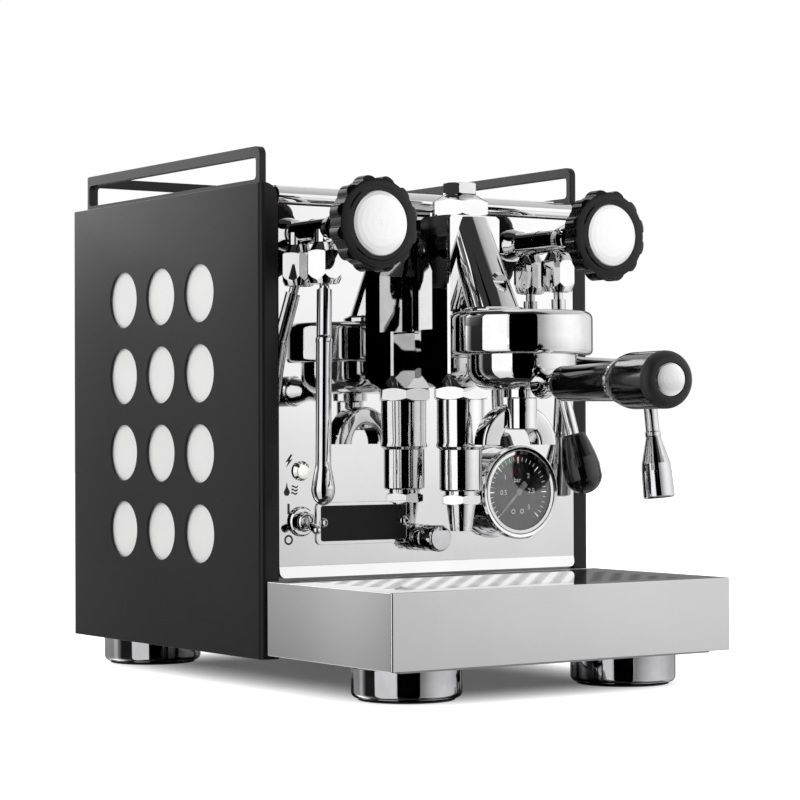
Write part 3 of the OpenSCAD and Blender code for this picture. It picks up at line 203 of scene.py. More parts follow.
FINISH = {
    "black_powder_coat": powder_coat, "white_enamel_sheet": white_paint,
    "mirror_stainless": mirror_steel, "satin_stainless": satin_steel,
    "zinc_plated_sheet": zinc_sheet, "chromed_brass": chrome,
    "polished_stainless": polished_steel, "black_rubber": rubber,
    "black_bakelite": bakelite, "matt_black_plastic": matt_plastic,
    "satin_aluminium": satin_aluminium, "white_ptfe": ptfe,
    "gauge_glass": gauge_glass, "needle_enamel": needle_paint,
    "boiler_copper": copper, "pump_steel": pump_metal,
    "tank_plastic": tank_plastic, "lamp_chrome": chrome,
}
OWN_FINISH = {"steam_knob": knob_bakelite, "water_knob": knob_bakelite,
              "drip_grate": polished_steel}
slot_of = {p["node"]: p["material_slot"] for p in frame["record"]["subparts"]}
finish_of = {node: OWN_FINISH.get(node, FINISH[slot])
             for node, slot in slot_of.items()}
for name, obj in nodes.items():
    obj.data.materials.clear()
    obj.data.materials.append(finish_of[name])
print("finishes on", len(nodes), "nodes")

# %% [markdown]
# ## Solids as bmeshes
# A node's triangles are merged to a closed mesh whose flat faces are whole
# again. Solids can be cut with one another, and each result becomes an object.

# %% Helpers for solids
WELD = 2e-6                          # points nearer than this are one, in metres


def merged(node):
    """The node's triangles as one closed mesh with its flat faces joined."""
    bm = bmesh.new()
    bm.from_mesh(nodes[node].data)
    bmesh.ops.remove_doubles(bm, verts=bm.verts, dist=WELD)
    bmesh.ops.dissolve_limit(bm, angle_limit=math.radians(0.4), verts=bm.verts,
                             edges=bm.edges, delimit={"NORMAL"})
    return bm


def as_object(name, bm, material):
    """An object with smooth faces, built anew so that no old normals stay."""
    mesh = bpy.data.meshes.new(name)
    bm.normal_update()
    plain = bmesh.new()
    copies = [plain.verts.new(v.co) for v in bm.verts]
    for i, v in enumerate(bm.verts):
        v.index = i
    for face in bm.faces:
        plain.faces.new([copies[v.index] for v in face.verts]).smooth = True
    plain.to_mesh(mesh)
    plain.free()
    bm.free()
    mesh.materials.append(material)
    obj = bpy.data.objects.new(name, mesh)
    bpy.context.scene.collection.objects.link(obj)
    return obj


def hull(points):
    """Convex solid round the points, which are in millimetres."""
    bm = bmesh.new()
    for point in points:
        bm.verts.new(Vector(point) * MM)
    bmesh.ops.convex_hull(bm, input=bm.verts)
    return bm


def cut_away(bm, tools):
    """The solid without its tools."""
    body, *cutters = [as_object("step", part, chrome) for part in (bm, *tools)]
    for cutter in cutters:
        step = body.modifiers.new("step", "BOOLEAN")
        step.operation, step.solver, step.object = "DIFFERENCE", "EXACT", cutter
    shot = bpy.context.evaluated_depsgraph_get()
    shot.update()
    mesh = bpy.data.meshes.new_from_object(body.evaluated_get(shot))
    result = bmesh.new()
    result.from_mesh(mesh)
    bpy.data.meshes.remove(mesh)
    for obj in (body, *cutters):
        bpy.data.objects.remove(obj)
    bmesh.ops.remove_doubles(result, verts=result.verts, dist=WELD)
    return result


# %% [markdown]
# ## Four shapes that change a little
# The group's column is cut back on both sides of the rib that holds it to the
# panel, so that the rib becomes a web that widens towards the panel. The
# panel's lower band is low and steep, the steam tip is a long drop, and the
# cap's small hexagon stands a little askew.

# %% Changes of shape
WEB_BACK = (12.1, PANEL_Y + 0.2)     # side of the web at the panel, as (x, y)
WEB_FRONT = (3.0, -92.3)             # and where it meets the column
COLUMN_BACK = -77.5                  # back face of the column
WEB_LOW, WEB_ARCH, WEB_HIGH = 239.0, 278.0, 303.0
PAST = 40                            # x at which a cutter is well outside
GROUP_AXIS_Y = -94.5
NUT_HEIGHT, NUT_TURN = 7.65, -7      # the cap's small hexagon, in degrees
TIP_STRETCH = 1.35
OLD_BAND, NEW_BAND = (14.0, 3.5), (7.5, 1.3)     # height and depth of the band


def with_web(bm):
    """Cuts the column back beside the rib, with an arch at the top."""
    run = WEB_FRONT[1] - WEB_BACK[1]
    cutters = []
    for side in (-1, 1):
        points = []
        for z, front in ((WEB_LOW - 0.05, WEB_FRONT[1]), (WEB_ARCH, WEB_FRONT[1]),
                         (WEB_HIGH, COLUMN_BACK)):
            share = (front - WEB_BACK[1]) / run
            inner = WEB_BACK[0] + (WEB_FRONT[0] - WEB_BACK[0]) * share
            points += [(side * inner, front, z), (side * WEB_BACK[0], WEB_BACK[1], z),
                       (side * PAST, front, z), (side * PAST, WEB_BACK[1], z)]
        cutters.append(hull(points))
    return cut_away(bm, cutters)


def longer_tip(bm):
    """Draws the steam tip's drop out downwards."""
    top = max(v.co.z for v in bm.verts)
    for v in bm.verts:
        v.co.z = top + (v.co.z - top) * TIP_STRETCH
    return bm


def turned_nut(bm):
    """Turns the small hexagon on top of the cap."""
    top = max(v.co.z for v in bm.verts)
    turn = Matrix.Rotation(math.radians(NUT_TURN), 4, "Z")
    axis = Vector((0, GROUP_AXIS_Y * MM, 0))
    for v in bm.verts:
        if v.co.z > top - NUT_HEIGHT * MM:
            v.co = turn @ (v.co - axis) + axis
    return bm


def lower_band(bm):
    """Makes the band along the front panel's foot lower and steeper."""
    foot = min(v.co.z for v in bm.verts)
    for v in bm.verts:
        height = (v.co.z - foot) / MM
        if abs(height - OLD_BAND[0]) < 0.3:
            v.co.z = foot + NEW_BAND[0] * MM
        elif height < OLD_BAND[0]:
            old = OLD_BAND[1] * (1 - height / OLD_BAND[0])
            new = NEW_BAND[1] * max(0.0, 1 - height / NEW_BAND[0])
            v.co.y += (old - new) * MM
    return bm


RESHAPED = {"group_body": with_web, "front_panel": lower_band,
            "steam_tip": longer_tip, "mushroom_cap": turned_nut}
print("changes of shape for", sorted(RESHAPED))

# %% [markdown]
# ## Softened edges
# No real edge is knife-sharp: even turned brass has a tenth of a millimetre
# of radius, and on chrome that radius is what catches the light. Each node in
# the list gets a copy whose edges carry a small bevel; the front panel's copy
# keeps sharp edges.

# %% Bevelled copies of the nodes
BEVELS = {                           # width in millimetres; 0 leaves sharp edges
    "side_panel_left": 0.4, "side_panel_right": 0.4, "cup_rail_left": 0.6,
    "cup_rail_right": 0.6, "cup_rail_rear": 0.6, "drip_tray": 0.5,
    "group_body": 0.8, "group_bell": 0.5, "mushroom_cap": 1.1,
    "ring_nut": 0.7, "discharge_tube": 0.3, "discharge_nozzle": 0.4,
    "lever_gland": 0.4, "lever_arm": 0.4, "portafilter_head": 0.4,
    "spout": 0.6, "steam_valve": 0.4, "water_valve": 0.4, "steam_knob": 1.3,
    "water_knob": 1.3, "steam_ball_nut": 0.6, "water_ball_nut": 0.6,
    "thumb_screw": 0.3, "foot_cups": 0.4, "gauge_case": 0.3,
    "front_panel": 0, "steam_tip": 0.2,
}
SHARP = 28                           # steeper edges stay edges, in degrees
PANEL_SHARP = 3                      # a mirror shows the least softness


def bevelled(node, width_mm, sharp):
    """A copy of the node with rounded edges, which stands for the node."""
    bm = merged(node)
    if node in RESHAPED:
        bm = RESHAPED[node](bm)
    obj = as_object(node + "_finished", bm, finish_of[node])
    obj.data.set_sharp_from_angle(angle=math.radians(sharp))
    if width_mm:
        edges = obj.modifiers.new("Edges", "BEVEL")
        edges.width, edges.segments = width_mm * MM, 2
        edges.limit_method, edges.angle_limit = "ANGLE", math.radians(sharp)
        edges.harden_normals = True
    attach(obj, body_of[node])
    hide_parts(node)


for node, width in BEVELS.items():
    bevelled(node, width, PANEL_SHARP if node == "front_panel" else SHARP)
print("bevelled", len(BEVELS), "nodes")

# %% [markdown]
# ## Flat shapes on the front
# Printed signs, tick marks and plates are thin closed solids that stand on
# the front panel or on the dial. Each is drawn in the panel's plane, x to the
# right and z up, in millimetres, and gets a thickness towards the front.


# %% Helpers for flat shapes and turned shapes
PIECE_SHARP = 30                     # steeper edges stay edges, in degrees


def new_piece(name, bm, material, body, smooth=True):
    """Makes the bmesh a piece at the origin that rides on its body."""
    mesh = bpy.data.meshes.new(name)
    bmesh.ops.recalc_face_normals(bm, faces=bm.faces)
    bm.to_mesh(mesh)
    bm.free()
    mesh.materials.append(material)
    if smooth:
        mesh.shade_smooth()
        mesh.set_sharp_from_angle(angle=math.radians(PIECE_SHARP))
    obj = bpy.data.objects.new(name, mesh)
    bpy.context.scene.collection.objects.link(obj)
    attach(obj, body)
    return obj


def plate(bm, outline, back_y, thick, holes=()):
    """Adds a flat solid: outline and holes are (x, z) points in millimetres."""
    rings = [outline, *holes]
    loops = []
    for ring in rings:
        verts = [bm.verts.new((x * MM, (back_y - thick) * MM, z * MM)) for x, z in ring]
        loops.append([bm.edges.new((verts[i], verts[(i + 1) % len(verts)]))
                      for i in range(len(verts))])
    filled = bmesh.ops.triangle_fill(bm, use_beauty=True, use_dissolve=False,
                                     edges=[e for loop in loops for e in loop])
    faces = [g for g in filled["geom"] if isinstance(g, bmesh.types.BMFace)]
    grown = bmesh.ops.extrude_face_region(bm, geom=faces)
    moved = [g for g in grown["geom"] if isinstance(g, bmesh.types.BMVert)]
    bmesh.ops.translate(bm, verts=moved, vec=(0, thick * MM, 0))


def circle(x, z, radius, count=48, start=0.0, sweep=360.0):
    """Points of a circle or an arc, anticlockwise from start, in degrees."""
    steps = count if sweep >= 360 else count + 1
    return [(x + radius * math.cos(math.radians(start + sweep * i / count)),
             z + radius * math.sin(math.radians(start + sweep * i / count)))
            for i in range(steps)]


def round_box(x, z, width, height, radius, count=6):
    """Outline of a rectangle with round corners."""
    points = []
    for cx, cz, start in ((1, 1, 0), (-1, 1, 90), (-1, -1, 180), (1, -1, 270)):
        points += circle(x + cx * (width / 2 - radius), z + cz * (height / 2 - radius),
                         radius, count, start, 90)
    return points


def turned(bm, profile, place, axis=(0, -1, 0), steps=64):
    """Adds a turned solid: profile is (radius, height) points along the axis,
    from one end to the other, in millimetres."""
    turn = Vector((0, 0, 1)).rotation_difference(Vector(axis)).to_matrix()
    rings = []
    for radius, height in profile:
        if radius < 1e-6:
            pole = turn @ Vector((0, 0, height))
            rings.append([bm.verts.new((Vector(place) + pole) * MM)])
            continue
        rings.append([bm.verts.new(Vector(place) * MM + turn @ Vector((
            radius * math.cos(2 * math.pi * i / steps),
            radius * math.sin(2 * math.pi * i / steps), height)) * MM)
            for i in range(steps)])
    for low, high in zip(rings, rings[1:]):
        for i in range(steps):
            j = (i + 1) % steps
            corners = [low[i % len(low)], low[j % len(low)], high[j % len(high)],
                       high[i % len(high)]]
            corners = list(dict.fromkeys(corners))
            if len(corners) > 2:
                bm.faces.new(corners)
    for ring, last in ((rings[0], False), (rings[-1], True)):
        if len(ring) > 1:
            bm.faces.new(ring if last else ring[::-1])


# %% [markdown]
# ## Name plate
# The front panel carries a plate of chromed zinc with a field of black
# enamel, held by two button-head screws with hexagon sockets. The plate is
# bare. Rim and field are two flat solids, one inside the other.

# %% Name plate and its screws
PLATE = {"x": -57.0, "z": 108.6, "rim": (76.0, 28.4), "field": (69.0, 23.6)}
PLATE_SCREWS = ((-89.2, 109.2), (-24.2, 109.2))      # as (x, z)
black_enamel = surface("black_enamel", {"Specular IOR Level": 0.25},
                       ("#0e0e0e", "#141414"), 7, (0.4, 0.48))
field = round_box(PLATE["x"], PLATE["z"], *PLATE["field"], 1.6)
bm = bmesh.new()
plate(bm, round_box(PLATE["x"], PLATE["z"], *PLATE["rim"], 3.6), PANEL_Y, 1.3,
      [field[::-1]])
rim = new_piece("name_plate_rim", bm, chrome, "chassis")
bm = bmesh.new()
plate(bm, field, PANEL_Y, 0.95)
new_piece("name_plate_field", bm, black_enamel, "chassis")
bevel = rim.modifiers.new("Edges", "BEVEL")
bevel.width, bevel.segments = 0.25 * MM, 2
bevel.limit_method, bevel.harden_normals = "ANGLE", True

bm = bmesh.new()
for x, z in PLATE_SCREWS:
    turned(bm, [(3.4, 0), (3.3, 0.8), (2.7, 1.5), (1.7, 1.9), (1.6, 0.7), (0, 0.7)],
           (x, PANEL_Y - 0.9, z), steps=32)
new_piece("name_plate_screws", bm, chrome, "chassis")
print("name plate at", PLATE["x"], PLATE["z"])

# %% [markdown]
# ## Signs beside the lamp and the switch
# Screen-printed pictograms: a bolt for the current, a drop with steam for the
# low-water lamp, a bar for on and a ring for off.

# %% Printed signs
screen_ink = surface("black_screen_ink", {}, ("#141414", "#1c1c1c"), 4, (0.4, 0.5))
INK = 0.04                           # thickness of the print, in millimetres
BOLT_AT, DROP_AT = (-115.6, 150.7), (-117.4, 129.9)
STEAM_AT, BAR_AT, RING_AT = (-114.0, 129.2), (-116.1, 118.9), (-116.1, 98.4)


def wave(x, z, length, height, stroke, count=14):
    """Outline of a wavy stroke from x to the right."""
    def point(i, side):
        t = i / count
        return (x + length * t, z + height * math.sin(2 * math.pi * t + 0.6)
                + side * stroke / 2)
    return ([point(i, 1) for i in range(count + 1)]
            + [point(i, -1) for i in range(count, -1, -1)])


bm = bmesh.new()
bolt = [(1.3, 4.5), (-2.9, -1.0), (-0.5, -0.1), (-2.3, -4.5), (2.9, 1.4), (0.4, 0.5),
        (2.7, 4.2)]
plate(bm, [(BOLT_AT[0] + x, BOLT_AT[1] + z) for x, z in bolt], PANEL_Y, INK)
neck = [(DROP_AT[0] + x, DROP_AT[1] + z) for x, z in ((0.7, 3.5), (0, 6.9), (-0.7, 3.5))]
plate(bm, circle(*DROP_AT, 2.3, 20, 150, 240) + neck, PANEL_Y, INK)
for row in range(3):
    plate(bm, wave(STEAM_AT[0] + 0.2 * row, STEAM_AT[1] + 2.2 * row, 4.9, 0.5, 1.1),
          PANEL_Y, INK)
plate(bm, [(BAR_AT[0] + x, BAR_AT[1] + z) for x, z in
           ((-0.9, -3.5), (0.9, -3.5), (0.9, 3.5), (-0.9, 3.5))], PANEL_Y, INK)
plate(bm, circle(*RING_AT, 3.4, 40), PANEL_Y, INK, [circle(*RING_AT, 2.1, 40)[::-1]])
new_piece("switch_signs", bm, screen_ink, "chassis", smooth=False)
print("signs for current, water, on and off")

# %% [markdown]
# ## Rings of copies
# Tick marks and knurls repeat round an axis. A small Geometry Nodes tree
# makes them: a line of points, one copy of an item on each, turned step by
# step. The result is made real, so that it is an ordinary mesh.


# %% Geometry Nodes: ring of copies
def ring_tree():
    """Tree that turns copies of an item about the Y axis."""
    tree = bpy.data.node_groups.new("ring_of_copies", "GeometryNodeTree")
    face = tree.interface
    face.new_socket("Geometry", in_out="INPUT", socket_type="NodeSocketGeometry")
    sockets = {name: face.new_socket(name, in_out="INPUT", socket_type="NodeSocket" + kind)
               for name, kind in (("Item", "Object"), ("Count", "Int"), ("First turn", "Float"),
                                  ("Turn per copy", "Float"), ("Finish", "Material"))}
    face.new_socket("Geometry", in_out="OUTPUT", socket_type="NodeSocketGeometry")
    put = tree.nodes.new
    given, result = put("NodeGroupInput"), put("NodeGroupOutput")
    line, item = put("GeometryNodeMeshLine"), put("GeometryNodeObjectInfo")
    line.inputs["Offset"].default_value = (0, 0, 0)
    index, turn = put("GeometryNodeInputIndex"), put("ShaderNodeMath")
    turn.operation = "MULTIPLY_ADD"
    vector, copies = put("ShaderNodeCombineXYZ"), put("GeometryNodeInstanceOnPoints")
    real, finish = put("GeometryNodeRealizeInstances"), put("GeometryNodeSetMaterial")
    for source, target in (
            (given.outputs["Count"], line.inputs["Count"]),
            (given.outputs["Item"], item.inputs["Object"]),
            (index.outputs[0], turn.inputs[0]),
            (given.outputs["Turn per copy"], turn.inputs[1]),
            (given.outputs["First turn"], turn.inputs[2]),
            (turn.outputs[0], vector.inputs["Y"]),
            (line.outputs["Mesh"], copies.inputs["Points"]),
            (item.outputs["Geometry"], copies.inputs["Instance"]),
            (vector.outputs[0], copies.inputs["Rotation"]),
            (copies.outputs["Instances"], real.inputs[0]),
            (real.outputs[0], finish.inputs["Geometry"]),
            (given.outputs["Finish"], finish.inputs["Material"]),
            (finish.outputs[0], result.inputs[0])):
        tree.links.new(source, target)
    return tree, sockets


RING, RING_SOCKETS = ring_tree()


def ring(item_bm, count, first, step, place, material):
    """Mesh of count copies of the item about an axis along Y through place.
    Angles are degrees, clockwise as seen from the front."""
    item = bpy.data.objects.new("item", bpy.data.meshes.new("item"))
    item_bm.to_mesh(item.data)
    item_bm.free()
    holder = bpy.data.objects.new("holder", bpy.data.meshes.new("holder"))
    for obj in (item, holder):
        bpy.context.scene.collection.objects.link(obj)
    copies = holder.modifiers.new("ring", "NODES")
    copies.node_group = RING
    for name, value in (("Item", item), ("Count", count), ("First turn", math.radians(first)),
                        ("Turn per copy", math.radians(step)), ("Finish", material)):
        copies[RING_SOCKETS[name].identifier] = value
    holder.update_tag()
    shot = bpy.context.evaluated_depsgraph_get()
    shot.update()
    mesh = bpy.data.meshes.new_from_object(holder.evaluated_get(shot))
    mesh.transform(Matrix.Translation(Vector(place) * MM))
    for obj in (item, holder):
        bpy.data.objects.remove(obj)
    return mesh


def add_mesh(bm, mesh):
    """Adds a mesh's faces to the bmesh."""
    bm.from_mesh(mesh)
    bpy.data.meshes.remove(mesh)


# %% [markdown]
# ## Gauge
# A black dial with white print behind flat glass, in a bright inner ring. The
# white print also glows faintly: painted light that keeps it bright behind the
# glass. The scale runs from 0 to 3 bar over 270 degrees, with a green band for
# the working pressure and a red one above it.

# %% Dial and its print
low, high = ([c / MM for c in corner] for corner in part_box("gauge_glass"))
GLASS_TO_DIAL = 2.6                  # from the back of the glass, in millimetres
DIAL = ((low[0] + high[0]) / 2, high[1] + GLASS_TO_DIAL, (low[2] + high[2]) / 2)
DIAL_R = (high[0] - low[0]) / 2      # the dial is as wide as its glass
RING_R = DIAL_R - 2.2                # the inner ring's opening
SCALE_R = DIAL_R - 4.2               # outer end of the marks
dial_paint = surface("dial_black_paint", {}, ("#0d0d0e", "#121213"), 8, (0.35, 0.45))
# The white print's faint glow is painted light: print gives no light.
white_print_painted_glow = surface("dial_white_ink", {"Emission Color": linear("#ffffff"),
                    "Emission Strength": 0.3}, ("#f2f2f0", "#f8f8f6"), 3, (0.4, 0.5))
green_ink = surface("dial_green_ink", {}, ("#128049", "#179455"), 3, (0.4, 0.5))
red_ink = surface("dial_red_ink", {}, ("#b0283a", "#c43044"), 3, (0.4, 0.5))

bm = bmesh.new()
turned(bm, [(0, 0), (DIAL_R, 0), (DIAL_R, 0.3), (0, 0.3)], DIAL, steps=96)
new_piece("gauge_dial", bm, dial_paint, "chassis")
bm = bmesh.new()
plate(bm, circle(DIAL[0], DIAL[2], DIAL_R - 0.1, 96), low[1], 0.4,
      [circle(DIAL[0], DIAL[2], RING_R, 96)[::-1]])
new_piece("gauge_inner_ring", bm, chrome, "chassis")

FACE_Y = -0.3                        # the dial's face, from its seat


def mark(length, width):
    """A tick mark from the scale's outer end inwards."""
    bm = bmesh.new()
    plate(bm, [(SCALE_R - length, -width / 2), (SCALE_R, -width / 2), (SCALE_R, width / 2),
               (SCALE_R - length, width / 2)], FACE_Y, 2 * INK)
    return bm


def lettering(bm, text, x, z, height):
    """Adds upright letters centred at (x, z) on the dial's face."""
    curve = bpy.data.curves.new("letters", "FONT")
    curve.body, curve.size = text, height / 0.72
    curve.align_x, curve.align_y = "CENTER", "CENTER"
    curve.extrude = INK / 2
    obj = bpy.data.objects.new("letters", curve)
    bpy.context.scene.collection.objects.link(obj)
    shot = bpy.context.evaluated_depsgraph_get()
    mesh = bpy.data.meshes.new_from_object(obj.evaluated_get(shot))
    bpy.data.objects.remove(obj)
    mesh.transform(Matrix.Translation(Vector((DIAL[0] + x, DIAL[1] + FACE_Y - INK / 2,
                                              DIAL[2] + z)) * MM)
                   @ Matrix.Rotation(math.radians(90), 4, "X") @ Matrix.Scale(MM, 4))
    add_mesh(bm, mesh)


bm = bmesh.new()
add_mesh(bm, ring(mark(4.3, 0.7), 7, -225, 45, DIAL, white_print_painted_glow))
add_mesh(bm, ring(mark(2.8, 0.45), 31, -225, 9, DIAL, white_print_painted_glow))
for text, x, z in (("0.5", -12.4, -0.2), ("1", -11.0, 10.4), ("2", 9.0, 11.2),
                   ("2.5", 11.6, 0.6), ("3", 9.2, -10.6), ("bar", -0.6, 8.4)):
    lettering(bm, text, x, z, 3.5)
for x in (DIAL[0] - 4.2, DIAL[0] + 3.4):
    hole = circle(x, DIAL[2] - 13.4, 1.1, 24)[::-1]
    plate(bm, circle(x, DIAL[2] - 13.4, 1.7, 24), DIAL[1] + FACE_Y, INK, [hole])
new_piece("gauge_print_white", bm, white_print_painted_glow, "chassis", smooth=False)


def band(start, sweep, name, material, text=None):
    """A coloured band outside the marks, with its number."""
    bm = bmesh.new()
    outer = circle(DIAL[0], DIAL[2], SCALE_R + 1.0, 24, start, sweep)
    inner = circle(DIAL[0], DIAL[2], SCALE_R - 3.7, 24, start, sweep)
    plate(bm, outer + inner[::-1], DIAL[1] + FACE_Y, INK)
    if text:
        lettering(bm, text, -0.6, 14.6, 3.3)
    new_piece(name, bm, material, "chassis", smooth=False)


band(99, 36, "gauge_band_green", green_ink)
band(86, 11, "gauge_band_red", red_ink, "1.5")
print("dial marks from 0 to 3 bar")

# %% [markdown]
# ## Lamp, switch and screws at the back
# The lamp's lens is a white dome in a chromed bezel. The switch's ring nut is
# knurled. The back panel is held by eight pan-head screws.

# %% Lens, knurled ring and back screws
LAMP_X, LAMP_Z, LAMP_DEPTH = -106.5, 144.0, 3.0
SWITCH_X, SWITCH_Z = -106.5, 110.4
LENS_R, LENS_HEIGHT = 4.15, 2.95
BACK_Y = 212.5                       # outer face of the back panel
lens_plastic = surface("white_lens_plastic", {"Coat Weight": 0.6, "Coat Roughness": 0.04,
                       "Emission Color": linear("#fffef6"), "Emission Strength": 0.45},
                       ("#ecece8", "#f4f4f0"), 3, (0.12, 0.2))
bm = bmesh.new()
dome = [(LENS_R * math.cos(math.radians(a)), LENS_HEIGHT * math.sin(math.radians(a)))
        for a in range(10, 90, 10)]
turned(bm, [(LENS_R, 0), *dome, (0, LENS_HEIGHT)], (LAMP_X, PANEL_Y - LAMP_DEPTH, LAMP_Z),
       steps=40)
new_piece("lamp_lens", bm, lens_plastic, "chassis")

bm = bmesh.new()
plate(bm, [(9.2, -0.42), (9.95, 0), (9.2, 0.42)], -0.3, 1.7)
knurl = bmesh.new()
add_mesh(knurl, ring(bm, 40, 0, 9, (SWITCH_X, PANEL_Y, SWITCH_Z), chrome))
new_piece("switch_nut_knurl", knurl, chrome, "chassis", smooth=False)

bm = bmesh.new()
for x in (-115, 115):
    for z in (40, 125, 230, 318):
        turned(bm, [(3.6, 0), (3.6, 0.6), (3.0, 1.5), (1.6, 1.9), (1.2, 1.2), (0, 1.2)],
               (x, BACK_Y, z), axis=(0, 1, 0), steps=28)
new_piece("rear_panel_screws", bm, polished_steel, "chassis")
print("lens, knurl and eight screws")

# %% [markdown]
# ## Studio
# A white floor, two broad soft lamps and a paler one above light the machine
# at a plain level. The floor and the background are white for the camera and
# in reflections. Under the machine the floor's white glow fades out in a box:
# the darker floor there is the machine's real shadow together with painted
# shadow.


# %% Floor, lamps and world
def stage_piece(name, bm, material):
    """A piece of the studio, which isn't part of the machine."""
    mesh = bpy.data.meshes.new(name)
    bm.to_mesh(mesh)
    bm.free()
    mesh.materials.append(material)
    obj = bpy.data.objects.new(name, mesh)
    bpy.context.scene.collection.objects.link(obj)
    return obj


def background_rays(tree):
    """1 for rays that should meet the white background, else 0."""
    seen = add(tree, "LightPath").outputs
    either = add(tree, "Math", {0: seen["Is Camera Ray"], 1: seen["Is Glossy Ray"]},
                 operation="MAXIMUM")
    return add(tree, "Math", {0: either.outputs[0], 1: seen["Is Transmission Ray"]},
               operation="MAXIMUM").outputs[0]


# Painted shadow: the floor's glow is least in this box under the machine and fades out beyond
# it, on top of the machine's real shadow.
PAINTED_SHADOW_BOX = (0.06, 0.13, 10)             # half sizes of the full shade on the floor
PAINTED_SHADOW_FADE, PAINTED_SHADOW_CURVE = 0.09, 1.8  # how far it fades, in metres, and how softly
floor_paper, tree = new_material("studio_floor")
where = add(tree, "TexCoord").outputs["Object"]
aside = add(tree, "VectorMath", {0: where}, operation="ABSOLUTE").outputs[0]
aside = add(tree, "VectorMath", {0: aside, 1: PAINTED_SHADOW_BOX}, operation="SUBTRACT").outputs[0]
aside = add(tree, "VectorMath", {0: aside, 1: (0, 0, 0)}, operation="MAXIMUM").outputs[0]
reach = add(tree, "VectorMath", {0: aside}, operation="LENGTH").outputs["Value"]
glow = add(tree, "MapRange", {"Value": reach, "From Max": PAINTED_SHADOW_FADE}).outputs["Result"]
glow = add(tree, "Math", {0: glow, 1: PAINTED_SHADOW_CURVE}, operation="POWER").outputs[0]
glow = add(tree, "Math", {0: glow, 1: 0.8, 2: 0.1}, operation="MULTIPLY_ADD").outputs[0]
glow = add(tree, "Math", {0: glow, 1: background_rays(tree)}, operation="MULTIPLY")
paper = add(tree, "BsdfPrincipled", {"Base Color": linear("#f2f2f2"), "Roughness": 0.7,
            "Specular IOR Level": 0.0, "Emission Color": linear("#ffffff"),
            "Emission Strength": glow.outputs[0]})
add(tree, "OutputMaterial", {"Surface": paper.outputs["BSDF"]})
bm = bmesh.new()
bmesh.ops.create_grid(bm, x_segments=1, y_segments=1, size=8,
                      matrix=Matrix.Translation((0, 0, -0.0004)))
stage_piece("studio_floor", bm, floor_paper)


LAMPS_AIM = Vector((0, 0, 0.15))     # the middle of the machine, in metres


def lamp(name, size, place, power):
    """A soft lamp that shines at the middle of the machine."""
    data = bpy.data.lights.new(name, "AREA")
    data.shape, data.size, data.energy = "SQUARE", size, power
    obj = bpy.data.objects.new(name, data)
    obj.location = place
    away = Vector(place) - LAMPS_AIM
    obj.rotation_euler = away.to_track_quat("Z", "Y").to_euler()
    obj.visible_camera = obj.visible_glossy = False
    bpy.context.scene.collection.objects.link(obj)


lamp("left_softbox", 1.6, (-2.2, -0.6, 1.5), 20)
lamp("right_softbox", 1.6, (1.4, -2.2, 1.4), 20)
lamp("top_softbox", 2.0, (0, 0.2, 2.4), 12)

world = bpy.data.worlds.new("studio")
bpy.context.scene.world = world
world.use_nodes = True
tree = world.node_tree
tree.nodes.clear()
strength = add(tree, "MapRange", {"Value": background_rays(tree), "To Min": 0.55,
               "To Max": 1.0})
sky = add(tree, "Background", {"Color": linear("#ffffff"),
          "Strength": strength.outputs["Result"]})
add(tree, "OutputWorld", {"Surface": sky.outputs["Background"]})
print("floor, three lamps and a white world")

# %% [markdown]
# ## Softboxes and flags
# Polished metal needs something to mirror, so bright cards and dark flags
# stand round the machine on a circle. Only reflections see them: they give
# chrome its bright and black bands. Bearings are in degrees from the
# machine's front towards its right.


# %% Softboxes and flags for the reflections
def at(stops, x):
    """Value at x of a line through (place, value) stops."""
    for (x0, y0), (x1, y1) in zip(stops, stops[1:]):
        if x <= x1:
            return y0 + (y1 - y0) * max(0.0, (x - x0) / (x1 - x0))
    return stops[-1][1]


card_glow, tree = new_material("card_glow")
strength = add(tree, "Attribute", attribute_name="glow").outputs["Fac"]
lit = add(tree, "Emission", {"Strength": strength})
add(tree, "OutputMaterial", {"Surface": lit.outputs["Emission"]})


def card(name, round_stops, rows):
    """A curved card round the machine. round_stops are (bearing, glow) pairs,
    and rows are (reach, height, share of the glow) from its foot up."""
    first, last = round_stops[0][0], round_stops[-1][0]
    columns = max(8, round((last - first) / 1.5))
    bearings = [first + (last - first) * i / columns for i in range(columns + 1)]
    bm = bmesh.new()
    glow = bm.verts.layers.float.new("glow")
    lines = []
    for reach, height, share in rows:
        line = []
        for bearing in bearings:
            turn = math.radians(bearing)
            vert = bm.verts.new((reach * math.sin(turn), -reach * math.cos(turn), height))
            vert[glow] = share * at(round_stops, bearing)
            line.append(vert)
        lines.append(line)
    for low, high in zip(lines, lines[1:]):
        for i in range(columns):
            bm.faces.new((low[i], low[i + 1], high[i + 1], high[i]))
    obj = stage_piece(name, bm, card_glow)
    obj.visible_camera = obj.visible_diffuse = obj.visible_shadow = False


card("left_card", [(-90, 1.22), (-50, 1.22)], [(0.83, 0, 1), (0.83, 0.8, 1)])
card("front_flag", [(-50, 0.0), (-10, 0.0)], [(1.2, 0, 1), (1.2, 1.6, 1)])
card("right_card", [(-10.4, 0.35), (-3.6, 0.46), (1, 0.58), (5.4, 0.7), (10, 0.82),
                    (15, 0.9), (20, 1.02), (25, 1.09), (30, 1.16), (36, 1.2), (45, 1.23),
                    (54, 1.17), (61, 1.14), (69, 1.03), (79, 0.91), (90, 0.87), (106, 0.8),
                    (116, 0.1)],
     [(1.5, 0, 0.66), (1.5, 0.15, 0.86), (1.5, 0.24, 1), (1.5, 1.0, 1)])
card("rear_left_card", [(-192, 0.44), (-138.5, 0.44), (-135.5, 0.78), (-128, 0.78),
                        (-125, 0.36), (-116, 0.02), (-90, 0.02)],
     [(0.95, 0, 1), (0.95, 0.12, 1), (0.95, 0.32, 1.5)])
